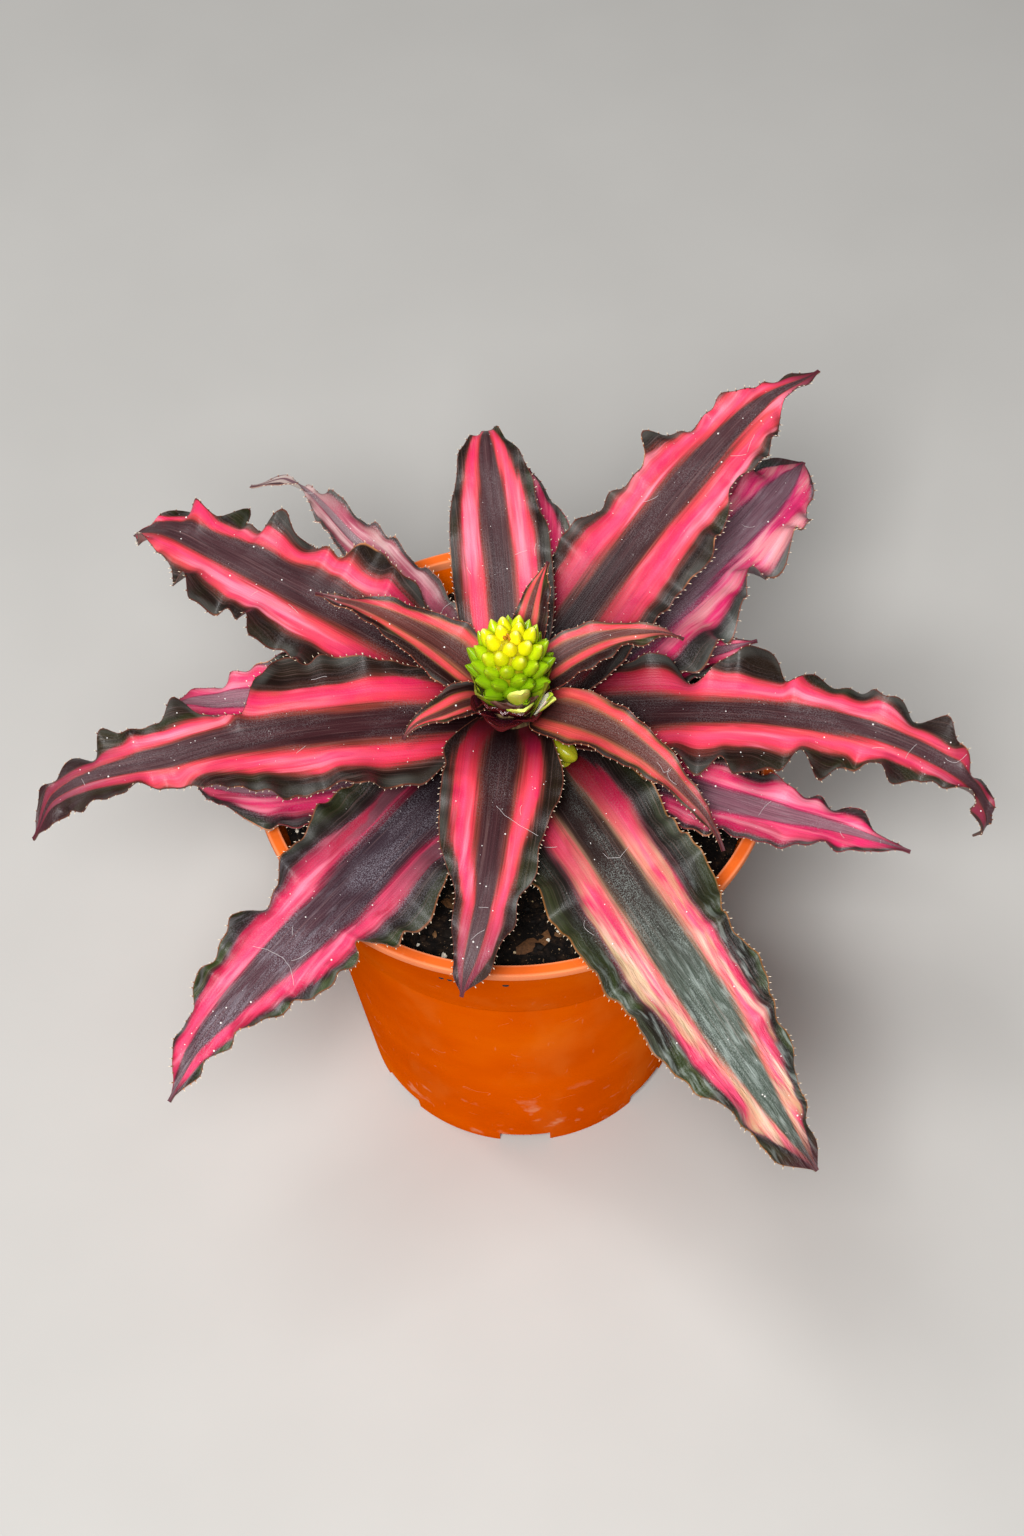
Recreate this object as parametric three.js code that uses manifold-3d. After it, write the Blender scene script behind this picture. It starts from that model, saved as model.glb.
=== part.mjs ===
// Earth star (Cryptanthus) in its plastic nursery pot.
// Millimetres, +Z up. The origin is the middle of the pot's underside, on the table.
// Azimuths are degrees anticlockwise from +X, seen from above; the front of the plant is at -90.

import * as THREE from 'three';
import { mergeVertices } from 'three/addons/utils/BufferGeometryUtils.js';
import Module from 'manifold-3d';

const wasm = await Module();
wasm.setup();

const TAU = Math.PI * 2;
const GOLDEN_TURN = Math.PI * (3 - Math.sqrt(5));   // from one bud of the head to the next
const GAP = 0.3;                     // clearance between pieces that touch

// ---------------------------------------------------------------- driving dimensions

const POT = {
  height: 117,
  rimRadius: 60,
  rimLip: 3,                         // width of the flat lip on top of the wall
  lipThickness: 2.2,
  rimChamfer: 0.5,
  collarTopRadius: 58.6,             // outside of the wall just under the lip
  collarFootRadius: 50.2,            // outside of the collar at its lower edge
  collarDepth: 33,                   // from the top of the rim to the collar's lower edge
  ledge: 0.9,                        // step in from the collar to the body
  footRadius: 39.3,
  wall: 1.8,
  floorLift: 3,                      // the drained floor stands this far above the table
  footRing: 3.2,                     // width of the ring that the pot stands on
  centrePad: 19,                     // radius of the flat middle, which also stands on the table
  notches: 7,                        // drain notches through the foot ring
  notchWidth: 12.6,
  notchHeight: 2.7,
  notchTurn: -93,                    // azimuth of the front notch
  drainRadius: 3.6,
  drainCircle: 27.5,                 // radius of the circle that the drain holes lie on
  sides: 56,
};

const SOIL = { level: 108, crown: 2.4, rings: 4, sides: 36, lumps: 0.7 };

const STEM = { radius: 6.8, toeRadius: 6, buried: 18, top: 142, shoulder: 3, sides: 16 };

const HEAD = {
  foot: 142.3,                       // where the head sits on the stem
  middle: 151.8,                     // height of the core's middle
  coreRadius: 6.2,
  coreHalfHeight: 9,
  coreSides: 16,
  coreRings: 8,
  buds: 46,
  spread: 128,                       // angle from the top down to the lowest buds
  budRadius: 1.7,
  budLength: 5.4,
  budSides: 6,
  sunk: 2.2,                         // how deep a bud's foot is in the core
  lean: 1.3,                        // how far the outer buds turn up from the core's surface
  seed: 7,
};

// Small scales: where the foot is, the way it faces and climbs, and its size.
const PETAL = {
  azimuth: -48, radius: 10.4, foot: 143.2, slope: 62, length: 7, width: 2.6, cup: 0.7, thick: 0.8,
};
const YOUNG_SCALES = [
  { azimuth: -97, radius: 7.6, foot: 139.8, slope: 18, length: 5.6, width: 9, cup: 1.2, thick: 1 },
  { azimuth: -115, radius: 7.6, foot: 140.8, slope: 30, length: 4.2, width: 5, cup: 0.8, thick: 1 },
  { azimuth: -74, radius: 7.6, foot: 141.2, slope: 28, length: 4.2, width: 5, cup: 0.8, thick: 1 },
];
const PUP = {                        // a side shoot: a bud on a short stalk from the stem
  azimuth: -50, foot: 133.4, radius: 7.3, slope: 4,
  stalk: 4.6, stalkRadius: 0.6, length: 12, budRadius: 2.1, sides: 8,
};

const BLADE = {
  footRadius: 7.6,                   // where a leaf starts, measured from the stem's axis
  footShare: 0.46,                   // width at the foot, as a share of the full width
  hug: 8,                            // length over which the foot lets go of the round stem
  tipWidth: 0.9,
  lobeSpread: 0.09,                  // how far a lobe reaches along the leaf, as a share of it
  curlFrom: 0.76,                    // share of the length after which the tip curls
  midThickness: 1.3,
  edgeThickness: 0.9,
  tipThickness: 0.7,
  narrow: 22,                        // blades up to this width have fewer columns of faces
  toothPitch: 6.6,
  toothBase: 1.6,
  toothHeight: 1.1,
};

// Each leaf, from the youngest at the top of the stem to the oldest at its foot.
// azimuth   the way in which the leaf leaves the stem, and sweep the turn it makes by its tip
// foot      height of its foot above the table
// rise      slope at the foot, and droop the slope it has lost by the tip, all in degrees
// arch      1 bends evenly, more bends late; curl is the extra bend towards the tip
// length, width, and fold (how far the margins stand above the middle) in millimetres
// widest    where the blade is widest, as a share of its length; taper, how late it narrows
// left, right  the ruffle of that margin: [height in mm, waves along the leaf, where they start]
// lobes     [place, reach, lift] of each larger lobe (or notch, with a negative reach) in mm:
//           place is a share of the length, negative on the right margin
const LEAVES = [
  [68, -13, 141.2, 50, -6, 1, 0, 25, 8, 0.35, 2.2, 1.8, [0.3, 3, 0], [0.4, 3, 0.4], []],
  [195, 57, 139.8, 28, 40, 1, 0, 22, 9, 0.25, 1.4, 2.6, [0.3, 3, 0], [0.3, 3, 0.3], []],
  [30, -60, 138.6, 28, 40, 1.2, 0, 36, 12, 0.25, 1.5, 2.4, [0.6, 3, 0], [0.9, 3, 0.5], []],
  [143, 37, 137.4, 24, 12, 1.2, 0, 44, 16, 0.2, 1.4, 2.2, [0.6, 3, 0], [0.8, 3, 0.4], []],
  [-28, -44, 136.4, 20, 62, 1.3, 0, 56, 15, 0.18, 1.3, 2.4, [0.6, 4, 0], [1, 3, 0.3], []],
  [91, 6, 135, 32, 28, 1.2, 60, 67, 23, 0.4, 2.2, 1.8, [1.2, 4, 0], [1, 4, 0.4], []],
  [-97, -13, 135, 14, 38, 1.2, 20, 68, 27, 0.3, 2, 1.6, [0.7, 4, 0], [0.8, 4, 0.4], []],
  [189, 13, 133, 14, 40, 1.5, 20, 108, 30, 0.28, 1.7, 2.2, [3, 4, 0.1], [2.4, 4, 0.4], [[0.72, -3, 0]]],
  [47, -4, 132.4, 24, 24, 1.3, 0, 103, 30, 0.3, 2.2, 2.2, [2.6, 4, 0], [1.6, 4, 0.4],
    [[-0.66, -4, 0], [0.45, -1, 0], [0.58, 1.5, 1.5]]],
  [-4, -54, 130.4, 10, 20, 1.5, 110, 119, 27, 0.3, 1.35, 2, [3.4, 6, 0], [2.6, 6, 0.4], []],
  [149, -11, 129.4, 11, 19, 1.3, 40, 102, 29, 0.35, 3.4, 2, [2.8, 6, 0], [3.6, 6, 0.4], [[0.75, -2, 0]]],
  [-65, 14, 128.7, 10, 40, 1.3, 0, 121, 36, 0.3, 2.2, 1.6, [1.8, 6, 0], [2.4, 6, 0.4], [[0.45, -2, 0]]],
  [81, 12, 127.5, 18, 14, 1.2, 0, 59, 26, 0.35, 2.2, 1.6, [1.4, 4, 0], [1.4, 4, 0.4], []],
  [-135, 10, 127, 8, 34, 1.3, 0, 111, 32, 0.3, 2.2, 1.6, [2.4, 4, 0], [2.2, 4, 0.4],
    [[-0.38, -4, 0], [0.42, 3, 0], [0.62, 2, 0]]],
  [39, 22, 125.8, 6, 14, 1.3, 0, 97, 28, 0.4, 3.4, 1.8, [2, 5, 0], [3, 5, 0.4], [[-0.5, 3, 1]]],
  [121, 27, 125.3, 12.5, 28, 1.2, 0, 90, 13, 0.3, 2.2, 2, [1, 5, 0], [1, 5, 0.4], []],
  [198, -53, 124.4, 7.5, 32, 1.2, 0, 71, 30, 0.4, 2.2, 1.6, [1.4, 4, 0], [1.4, 4, 0.4], []],
  [-23, 2, 123.8, 7, 16, 1.2, 0, 87, 22, 0.35, 2.2, 1.6, [2.2, 5, 0], [1.8, 5, 0.4], []],
  [29, -27, 122.4, 4, 10, 1.2, -30, 55, 18, 0.4, 2.2, 1.6, [1, 4, 0], [1, 4, 0.4], []],
  [159, 20, 121.4, 3.5, 34, 1.7, 0, 78, 19, 0.4, 2.2, 1.6, [1.6, 4, 0], [1.6, 4, 0.4], []],
].map(([azimuth, sweep, foot, rise, droop, arch, curl, length, width, widest, taper, fold,
  left, right, lobes], index) => ({
  name: `leaf_${String(index + 1).padStart(2, '0')}`,
  azimuth, sweep, foot, rise, droop, arch, curl, length, width, widest, taper, fold, left, right, lobes,
}));

const LOOKS = {
  pot: { color: 0xd9570c, roughness: 0.38 },
  soil: { color: 0x231811, roughness: 0.95 },
  stem: { color: 0x6b5a34, roughness: 0.7 },
  leaf: { color: 0xb5304c, roughness: 0.42 },
  buds: { color: 0xb4d41c, roughness: 0.3 },
  petal: { color: 0xe8e2b8, roughness: 0.5 },
  scales: { color: 0x4a1320, roughness: 0.25 },
  pup: { color: 0x8a8c14, roughness: 0.3 },
};

// ---------------------------------------------------------------- helpers

const radians = (degrees) => degrees * Math.PI / 180;
const mix = (a, b, t) => a + (b - a) * t;
const smooth = (from, to, x) => THREE.MathUtils.smoothstep(x, from, to);

function seededRandom(seed) {
  let state = seed >>> 0;
  return () => {
    state = (Math.imul(state, 1664525) + 1013904223) >>> 0;
    return state / 2 ** 32;
  };
}

function closedGeometry(points, triangles) {
  const geometry = new THREE.BufferGeometry();
  geometry.setAttribute('position', new THREE.Float32BufferAttribute(points, 3));
  geometry.setIndex(triangles);
  return geometry;
}

// Position-only geometry with shared corners and no faces that have collapsed to a line.
function weld(source) {
  const bare = source.clone();
  for (const name of Object.keys(bare.attributes)) {
    if (name !== 'position') bare.deleteAttribute(name);
  }
  const merged = mergeVertices(bare, 1e-4);
  const index = merged.index.array;
  const kept = [];
  for (let i = 0; i < index.length; i += 3) {
    const [a, b, c] = [index[i], index[i + 1], index[i + 2]];
    if (a !== b && b !== c && c !== a) kept.push(a, b, c);
  }
  merged.setIndex(kept);
  return merged;
}

function toSolid(geometry) {
  const welded = weld(geometry);
  return new wasm.Manifold(new wasm.Mesh({
    numProp: 3,
    vertProperties: new Float32Array(welded.attributes.position.array),
    triVerts: new Uint32Array(welded.index.array),
  }));
}

function fromSolid(solid) {
  const mesh = solid.getMesh();
  return closedGeometry(Array.from(mesh.vertProperties), Array.from(mesh.triVerts));
}

// A profile of [radius, height] pairs turned about the Z axis.
function turned(profile, sides) {
  const points = profile.map(([r, z]) => new THREE.Vector2(r, z));
  return weld(new THREE.LatheGeometry(points, sides).rotateX(Math.PI / 2));
}

function around(radius, azimuth, z) {
  const a = radians(azimuth);
  return new THREE.Vector3(radius * Math.cos(a), radius * Math.sin(a), z);
}

// ---------------------------------------------------------------- pot and soil

const COLLAR_FOOT = POT.height - POT.collarDepth;
const LIP_FOOT = POT.height - POT.lipThickness;
const FLOOR = POT.floorLift + POT.wall;

// The inside of the wall from the floor up, `inset` millimetres in from it.
function insideWall(inset) {
  const slip = POT.wall + inset;
  return [
    [POT.footRadius + 0.6 - slip, FLOOR + inset],
    [POT.collarFootRadius - POT.ledge - slip, COLLAR_FOOT - POT.wall],
    [POT.collarFootRadius - slip, COLLAR_FOOT + POT.wall],
    [POT.collarTopRadius - slip, LIP_FOOT],
  ];
}

function potGeometry() {
  const ringInside = POT.footRadius - POT.footRing;
  const profile = [
    [0, 0],
    [POT.centrePad, 0],
    [POT.centrePad, POT.floorLift],
    [ringInside, POT.floorLift],
    [ringInside, 0],
    [POT.footRadius, 0],
    [POT.collarFootRadius - POT.ledge, COLLAR_FOOT],
    [POT.collarFootRadius, COLLAR_FOOT + POT.ledge / 2],
    [POT.collarTopRadius, LIP_FOOT],
    [POT.rimRadius, LIP_FOOT],
    [POT.rimRadius, POT.height - POT.rimChamfer],
    [POT.rimRadius - POT.rimChamfer, POT.height],
    [POT.rimRadius - POT.rimLip, POT.height],
    ...insideWall(0).reverse(),
    [POT.centrePad - POT.wall, FLOOR],
    [POT.centrePad - POT.wall, POT.wall],
    [0, POT.wall],
  ];
  let pot = toSolid(turned(profile, POT.sides));
  const notch = new THREE.BoxGeometry(POT.footRing * 3, POT.notchWidth, POT.notchHeight * 2);
  const drain = new THREE.CylinderGeometry(POT.drainRadius, POT.drainRadius, FLOOR * 2, 12)
    .rotateX(Math.PI / 2);
  for (let i = 0; i < POT.notches; i++) {
    const azimuth = POT.notchTurn + 360 * i / POT.notches;
    const cut = notch.clone().translate(POT.footRadius, 0, 0).rotateZ(radians(azimuth));
    const hole = drain.clone().translate(POT.drainCircle, 0, FLOOR).rotateZ(radians(azimuth));
    pot = pot.subtract(toSolid(cut)).subtract(toSolid(hole));
  }
  return fromSolid(pot);
}

function soilGeometry() {
  const wall = insideWall(GAP);
  const [foot, top] = [wall[2], wall[3]];
  const edge = mix(foot[0], top[0], (SOIL.level - foot[1]) / (top[1] - foot[1]));
  const hole = STEM.radius + GAP;
  const dish = POT.centrePad - POT.wall - GAP;
  const surface = [];
  for (let i = 0; i <= SOIL.rings; i++) {
    const share = 1 - i / SOIL.rings;
    surface.push([mix(hole, edge, share), SOIL.level + SOIL.crown * (1 - share ** 2)]);
  }
  const geometry = turned([
    [0, POT.wall + GAP],
    [dish, POT.wall + GAP],
    [dish, FLOOR + GAP],
    wall[0], wall[1], wall[2],
    ...surface,
    [hole, SOIL.level - STEM.buried],
    [0, SOIL.level - STEM.buried],
  ], SOIL.sides);
  const position = geometry.attributes.position;
  for (let i = 0; i < position.count; i++) {
    const [x, y, z] = [position.getX(i), position.getY(i), position.getZ(i)];
    const lump = Math.sin(0.31 * x + 1.3) * Math.cos(0.27 * y) + 0.6 * Math.sin(0.53 * x - 0.61 * y);
    if (z >= SOIL.level) position.setZ(i, z + SOIL.lumps * lump);
  }
  return geometry;
}

// ---------------------------------------------------------------- stem, flower head and scales

function stemGeometry() {
  const toe = SOIL.level - STEM.buried + GAP;
  return turned([
    [0, toe],
    [STEM.toeRadius, toe],
    [STEM.radius, SOIL.level],
    [STEM.radius, STEM.top - STEM.shoulder],
    [STEM.toeRadius, STEM.top],
    [0, STEM.top],
  ], STEM.sides);
}

// A pointed oval body that stands on the origin along +Z.
function budGeometry(radius, length, sides) {
  return turned([
    [0, 0],
    [radius * 0.7, 0],
    [radius, length * 0.38],
    [radius * 0.82, length * 0.7],
    [0, length],
  ], sides);
}

function standing(geometry, foot, direction, spin = 0) {
  const turn = new THREE.Quaternion().setFromUnitVectors(new THREE.Vector3(0, 0, 1), direction);
  return geometry.rotateZ(spin).applyQuaternion(turn).translate(foot.x, foot.y, foot.z);
}

// Ovoid buds in a sunflower spiral round a core, from the top down.
function flowerHeadGeometry() {
  const random = seededRandom(HEAD.seed);
  const core = new THREE.SphereGeometry(1, HEAD.coreSides, HEAD.coreRings)
    .rotateX(Math.PI / 2)
    .scale(HEAD.coreRadius, HEAD.coreRadius, HEAD.coreHalfHeight)
    .translate(0, 0, HEAD.middle);
  const below = new THREE.BoxGeometry(40, 40, 40).translate(0, 0, HEAD.foot - 20);
  const buds = [];
  for (let i = 0; i < HEAD.buds; i++) {
    const down = (1 - Math.cos(radians(HEAD.spread))) * (i + 0.5) / HEAD.buds;
    const polar = Math.acos(1 - down);
    const turn = i * GOLDEN_TURN + (random() - 0.5) * 0.16;
    const outward = new THREE.Vector3(
      Math.sin(polar) * Math.cos(turn), Math.sin(polar) * Math.sin(turn), Math.cos(polar));
    const surface = outward.clone()
      .multiply(new THREE.Vector3(HEAD.coreRadius, HEAD.coreRadius, HEAD.coreHalfHeight));
    const direction = outward.clone()
      .add(new THREE.Vector3(0, 0, HEAD.lean * Math.sin(polar))).normalize();
    const outer = polar / radians(HEAD.spread);
    const vary = mix(0.95, 1.05, random());
    const radius = HEAD.budRadius * vary * mix(0.8, 1.25, outer);
    const length = HEAD.budLength * vary * mix(0.75, 1.6, outer);
    const foot = surface.addScaledVector(direction, -HEAD.sunk)
      .add(new THREE.Vector3(0, 0, HEAD.middle));
    buds.push(toSolid(standing(
      budGeometry(radius, length, HEAD.budSides), foot, direction, turn)));
  }
  return fromSolid(wasm.Manifold.union([toSolid(core), ...buds]).subtract(toSolid(below)));
}

// A small cupped scale with a pointed end: a closed blade of three columns.
function scaleGeometry({ azimuth, radius, foot, slope, length, width, cup, thick }) {
  const start = around(radius, azimuth, foot);
  const level = around(1, azimuth, 0);
  const along = level.clone().multiplyScalar(Math.cos(radians(slope)));
  along.z = Math.sin(radians(slope));
  const across = new THREE.Vector3(-level.y, level.x, 0);
  const up = new THREE.Vector3().crossVectors(along, across);
  const widths = [0.62, 0.95, 1, 0.72, 0.18];
  const points = [];
  widths.forEach((share, i) => {
    for (const face of [0.5, -0.5]) {
      for (const v of [-1, 0, 1]) {
        const point = start.clone()
          .addScaledVector(along, length * i / (widths.length - 1))
          .addScaledVector(across, v * share * width / 2)
          .addScaledVector(up, cup * Math.abs(v) * share + face * thick);
        points.push(...point);
      }
    }
  });
  return closedGeometry(points, bladeFaces(widths.length, 3));
}

// The faces of a closed blade whose points come station by station, the upper row of
// columns before the lower one; both faces are split along the same diagonals.
function bladeFaces(stations, columns, wallFaces = (corners, quad) => quad(...corners)) {
  const triangles = [];
  const at = (station, face, column) => (station * 2 + face) * columns + column;
  const quad = (a, b, c, d) => triangles.push(a, b, c, a, c, d);
  const last = columns - 1;
  for (let i = 0; i < stations - 1; i++) {
    for (let c = 0; c < last; c++) {
      quad(at(i, 0, c), at(i + 1, 0, c), at(i + 1, 0, c + 1), at(i, 0, c + 1));
      const [p, q, r, t] = [at(i, 1, c), at(i + 1, 1, c), at(i + 1, 1, c + 1), at(i, 1, c + 1)];
      triangles.push(p, r, q, p, t, r);
    }
    wallFaces([at(i, 1, 0), at(i + 1, 1, 0), at(i + 1, 0, 0), at(i, 0, 0)], quad, i, 0, triangles);
    wallFaces([at(i, 0, last), at(i + 1, 0, last), at(i + 1, 1, last), at(i, 1, last)],
      quad, i, last, triangles);
  }
  for (let c = 0; c < last; c++) {
    quad(at(0, 0, c), at(0, 0, c + 1), at(0, 1, c + 1), at(0, 1, c));
    const end = stations - 1;
    quad(at(end, 0, c + 1), at(end, 0, c), at(end, 1, c), at(end, 1, c + 1));
  }
  return triangles;
}

function youngScalesGeometry() {
  const scales = YOUNG_SCALES.map((scale) => toSolid(scaleGeometry(scale)));
  return fromSolid(wasm.Manifold.union(scales));
}

function pupGeometry() {
  const level = around(1, PUP.azimuth, 0);
  const direction = level.multiplyScalar(Math.cos(radians(PUP.slope)));
  direction.z = Math.sin(radians(PUP.slope));
  const bud = turned([
    [0, 0],
    [PUP.stalkRadius, 0],
    [PUP.stalkRadius, PUP.stalk],
    [PUP.budRadius * 0.85, mix(PUP.stalk, PUP.length, 0.2)],
    [PUP.budRadius, mix(PUP.stalk, PUP.length, 0.45)],
    [PUP.budRadius * 0.7, mix(PUP.stalk, PUP.length, 0.8)],
    [0, PUP.length],
  ], PUP.sides);
  return standing(bud, around(PUP.radius, PUP.azimuth, PUP.foot), direction);
}

// ---------------------------------------------------------------- leaves

// The middle line of a leaf, walked from its foot at even steps, with the way
// across the blade (to the left, looking out from the stem) and up from it.
function walkMiddle(leaf, steps = 160) {
  const stations = [];
  const point = around(BLADE.footRadius, leaf.azimuth, leaf.foot);
  for (let i = 0; i <= steps; i++) {
    const s = i / steps;
    const turn = radians(leaf.azimuth + leaf.sweep * s ** 2);
    const bend = leaf.droop * s ** leaf.arch + leaf.curl * smooth(BLADE.curlFrom, 1, s);
    const slope = radians(leaf.rise - bend);
    const along = new THREE.Vector3(
      Math.cos(slope) * Math.cos(turn), Math.cos(slope) * Math.sin(turn), Math.sin(slope));
    const across = new THREE.Vector3(-Math.sin(turn), Math.cos(turn), 0);
    const up = new THREE.Vector3().crossVectors(along, across);
    stations.push({ point: point.clone(), along, across, up });
    point.addScaledVector(along, leaf.length / steps);
  }
  return stations;
}

function halfWidth(leaf, s) {
  const share = s < leaf.widest
    ? mix(BLADE.footShare, 1, 1 - (1 - s / leaf.widest) ** 3)
    : (1 - Math.min((s - leaf.widest) / (1 - leaf.widest), 1) ** leaf.taper) ** 1.15;
  return leaf.width / 2 * share;
}

function ruffle([height, waves, start], s) {
  const fade = smooth(0.08, 0.3, s) * (1 - smooth(0.86, 1, s));
  const wave = Math.sin(TAU * (waves * s + start));
  const ripple = 0.35 * Math.sin(TAU * (1.7 * waves * s + 2.3 * start));
  return height * fade * (wave + ripple);
}

// What the lobes of one margin add at s: [outward, upward].
function lobed(leaf, s, side) {
  let [out, up] = [0, 0];
  for (const [place, reach, lift] of leaf.lobes) {
    if (Math.sign(place) !== side) continue;
    const near = 1 - smooth(0, BLADE.lobeSpread, Math.abs(s - Math.abs(place)));
    out += reach * near;
    up += lift * near;
  }
  return [out, up];
}

// A point of the blade: s runs from foot to tip, v from the right margin (-1) to the left (1),
// out is a distance past the margin and lift a distance above the blade's middle surface.
function bladePoint(leaf, middle, s, v, out = 0, lift = 0) {
  const place = Math.min(s, 1) * (middle.length - 1);
  const index = Math.min(Math.floor(place), middle.length - 2);
  const part = place - index;
  const [a, b] = [middle[index], middle[index + 1]];
  const along = a.along.clone().lerp(b.along, part).normalize();
  const across = a.across.clone().lerp(b.across, part).normalize();
  const up = a.up.clone().lerp(b.up, part).normalize();
  const side = Math.abs(v);
  const [reach, lobeLift] = lobed(leaf, s, Math.sign(v));
  const half = Math.max(halfWidth(leaf, s) + reach, BLADE.tipWidth / 2);
  const cup = leaf.fold * side ** 1.7 * half / (leaf.width / 2);
  const wave = (ruffle(v > 0 ? leaf.left : leaf.right, s) + lobeLift) * side ** 2.6;
  const sideways = v * half + Math.sign(v) * out;
  const clasp = Math.min(Math.abs(sideways), BLADE.footRadius * 0.95);
  const back = BLADE.footRadius - Math.sqrt(BLADE.footRadius ** 2 - clasp ** 2);
  return a.point.clone().lerp(b.point, part)
    .addScaledVector(across, sideways)
    .addScaledVector(up, cup + wave + lift)
    .addScaledVector(along, -back * (1 - smooth(0, BLADE.hug / leaf.length, s)));
}

// A leaf is one closed blade. Stations come in close pairs along it, and between
// the two of a pair each margin carries a forward-pointing tooth.
function leafGeometry(leaf) {
  const middle = walkMiddle(leaf);
  const columns = leaf.width > BLADE.narrow ? [-1, -0.62, 0, 0.62, 1] : [-1, 0, 1];
  const teeth = Math.max(5, Math.round(leaf.length * 0.9 / BLADE.toothPitch));
  const stations = [0];
  for (let i = 0; i < teeth; i++) {
    const s = mix(0.07, 0.955, i / (teeth - 1));
    stations.push(s, s + BLADE.toothBase / leaf.length);
  }
  stations.push(1);
  const points = [];
  for (const s of stations) {
    for (const face of [0.5, -0.5]) {
      for (const v of columns) {
        const body = mix(BLADE.midThickness, BLADE.edgeThickness, Math.abs(v));
        const thickness = mix(body, BLADE.tipThickness, smooth(0.8, 1, s));
        points.push(...bladePoint(leaf, middle, s, v, 0, face * thickness));
      }
    }
  }
  const toothedWall = (corners, quad, station, column, triangles) => {
    if (station % 2 === 0) {
      quad(...corners);
      return;
    }
    const apex = points.length / 3;
    points.push(...bladePoint(leaf, middle, stations[station + 1], columns[column], BLADE.toothHeight));
    for (let k = 0; k < 4; k++) triangles.push(corners[k], corners[(k + 1) % 4], apex);
  };
  const triangles = bladeFaces(stations.length, columns.length, toothedWall);
  return closedGeometry(points, triangles);
}

// ---------------------------------------------------------------- the plant in its pot

const plant = new THREE.Group();
plant.name = 'earth_star_in_pot';

function addPiece(name, geometry, look) {
  const material = new THREE.MeshStandardMaterial({ ...look, metalness: 0 });
  material.name = name;
  const mesh = new THREE.Mesh(geometry, material);
  mesh.name = name;
  plant.add(mesh);
}

addPiece('pot', potGeometry(), LOOKS.pot);
addPiece('soil', soilGeometry(), LOOKS.soil);
addPiece('stem', stemGeometry(), LOOKS.stem);
for (const leaf of LEAVES) addPiece(leaf.name, leafGeometry(leaf), LOOKS.leaf);
addPiece('flower_head', flowerHeadGeometry(), LOOKS.buds);
addPiece('flower_petal', scaleGeometry(PETAL), LOOKS.petal);
addPiece('young_scales', youngScalesGeometry(), LOOKS.scales);
addPiece('pup_bud', pupGeometry(), LOOKS.pup);

export default plant;
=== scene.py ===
# Earth star (Cryptanthus) in its plastic nursery pot, dressed round its packed solids.
# Shapes are worked out in millimetres, and a finished piece is scaled to metres.
# Azimuths are degrees anticlockwise from +X, seen from above; the front of the plant is at -90.
import math
import random
from types import SimpleNamespace as Values

import bmesh
import bpy
from mathutils import Matrix, Vector, noise


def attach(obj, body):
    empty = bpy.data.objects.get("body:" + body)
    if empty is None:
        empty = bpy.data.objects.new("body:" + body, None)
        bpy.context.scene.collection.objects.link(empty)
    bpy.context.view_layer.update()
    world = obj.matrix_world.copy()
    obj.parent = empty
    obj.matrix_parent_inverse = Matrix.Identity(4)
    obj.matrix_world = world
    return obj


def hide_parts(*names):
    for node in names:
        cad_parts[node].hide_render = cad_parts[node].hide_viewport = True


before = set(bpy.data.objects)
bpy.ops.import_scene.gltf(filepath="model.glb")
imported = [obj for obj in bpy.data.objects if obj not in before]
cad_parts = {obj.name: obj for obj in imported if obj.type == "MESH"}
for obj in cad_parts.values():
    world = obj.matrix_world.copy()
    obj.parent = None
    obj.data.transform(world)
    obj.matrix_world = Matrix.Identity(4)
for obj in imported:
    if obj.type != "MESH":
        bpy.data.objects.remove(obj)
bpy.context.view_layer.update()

MM = 0.001
TAU = math.tau
GOLDEN_TURN = math.pi * (3 - math.sqrt(5))      # from one bud of the head to the next
UP = Vector((0, 0, 1))

# ---------------------------------------------------------------- sizes, in millimetres

POT = Values(
    height=117, rim_radius=60, rim_lip=3, lip_thickness=2.2,
    collar_top_radius=58.6, collar_foot_radius=50.2, collar_depth=33, ledge=0.9,
    foot_radius=39.3, wall=1.8, floor_lift=3, foot_ring=3.2, centre_pad=19,
    flare=0.6,                   # how much wider the wall is at the floor than at the foot
    notches=7, notch_width=12.6, notch_height=4.2, notch_turn=-91.5,
    wall_rings=(5.5, 7),         # heights of two rings over the notches, so that the wall stays smooth
    drain_radius=3.6, drain_circle=27.5,
    softness=0.5,                # how far the moulded corners are rounded
    sides=168,
)
SOIL = Values(
    level=108, crown=2.4, gap=0.3, lumps=0.7, sides=150, rings=44,
    crumb=0.9, crumb_size=2.6,   # height and width of the lumps that the solid doesn't have
    bare=(1.5, 4),               # how far loose bits keep from the stem and from the wall
)
STEM = Values(radius=6.8, toe_radius=6, buried=18, top=142, shoulder=3, sides=40, rings=34, scars=0.3)
HEAD = Values(
    foot=142.3, middle=151.8, core_radius=6.2, core_half_height=9,
    buds=46, spread=128, stray=0.16, bud_radius=1.7, bud_length=5.4, sunk=2.2, lean=1.3, seed=7,
    girths=(0.8, 1.25), lengths=(0.75, 1.6),     # of the buds at the top and at the foot, as shares
    bracts_from=0.42,            # how far out from the top (0 to 1) the buds have a pointed bract
    dried_buds=6,                # small ones, in the middle of the top
)
PUP = Values(azimuth=-47, foot=133.4, radius=8, slope=4, stalk=4.6, stalk_radius=0.6,
             length=12.4, bud_radius=2.4, spread=22)

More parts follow.
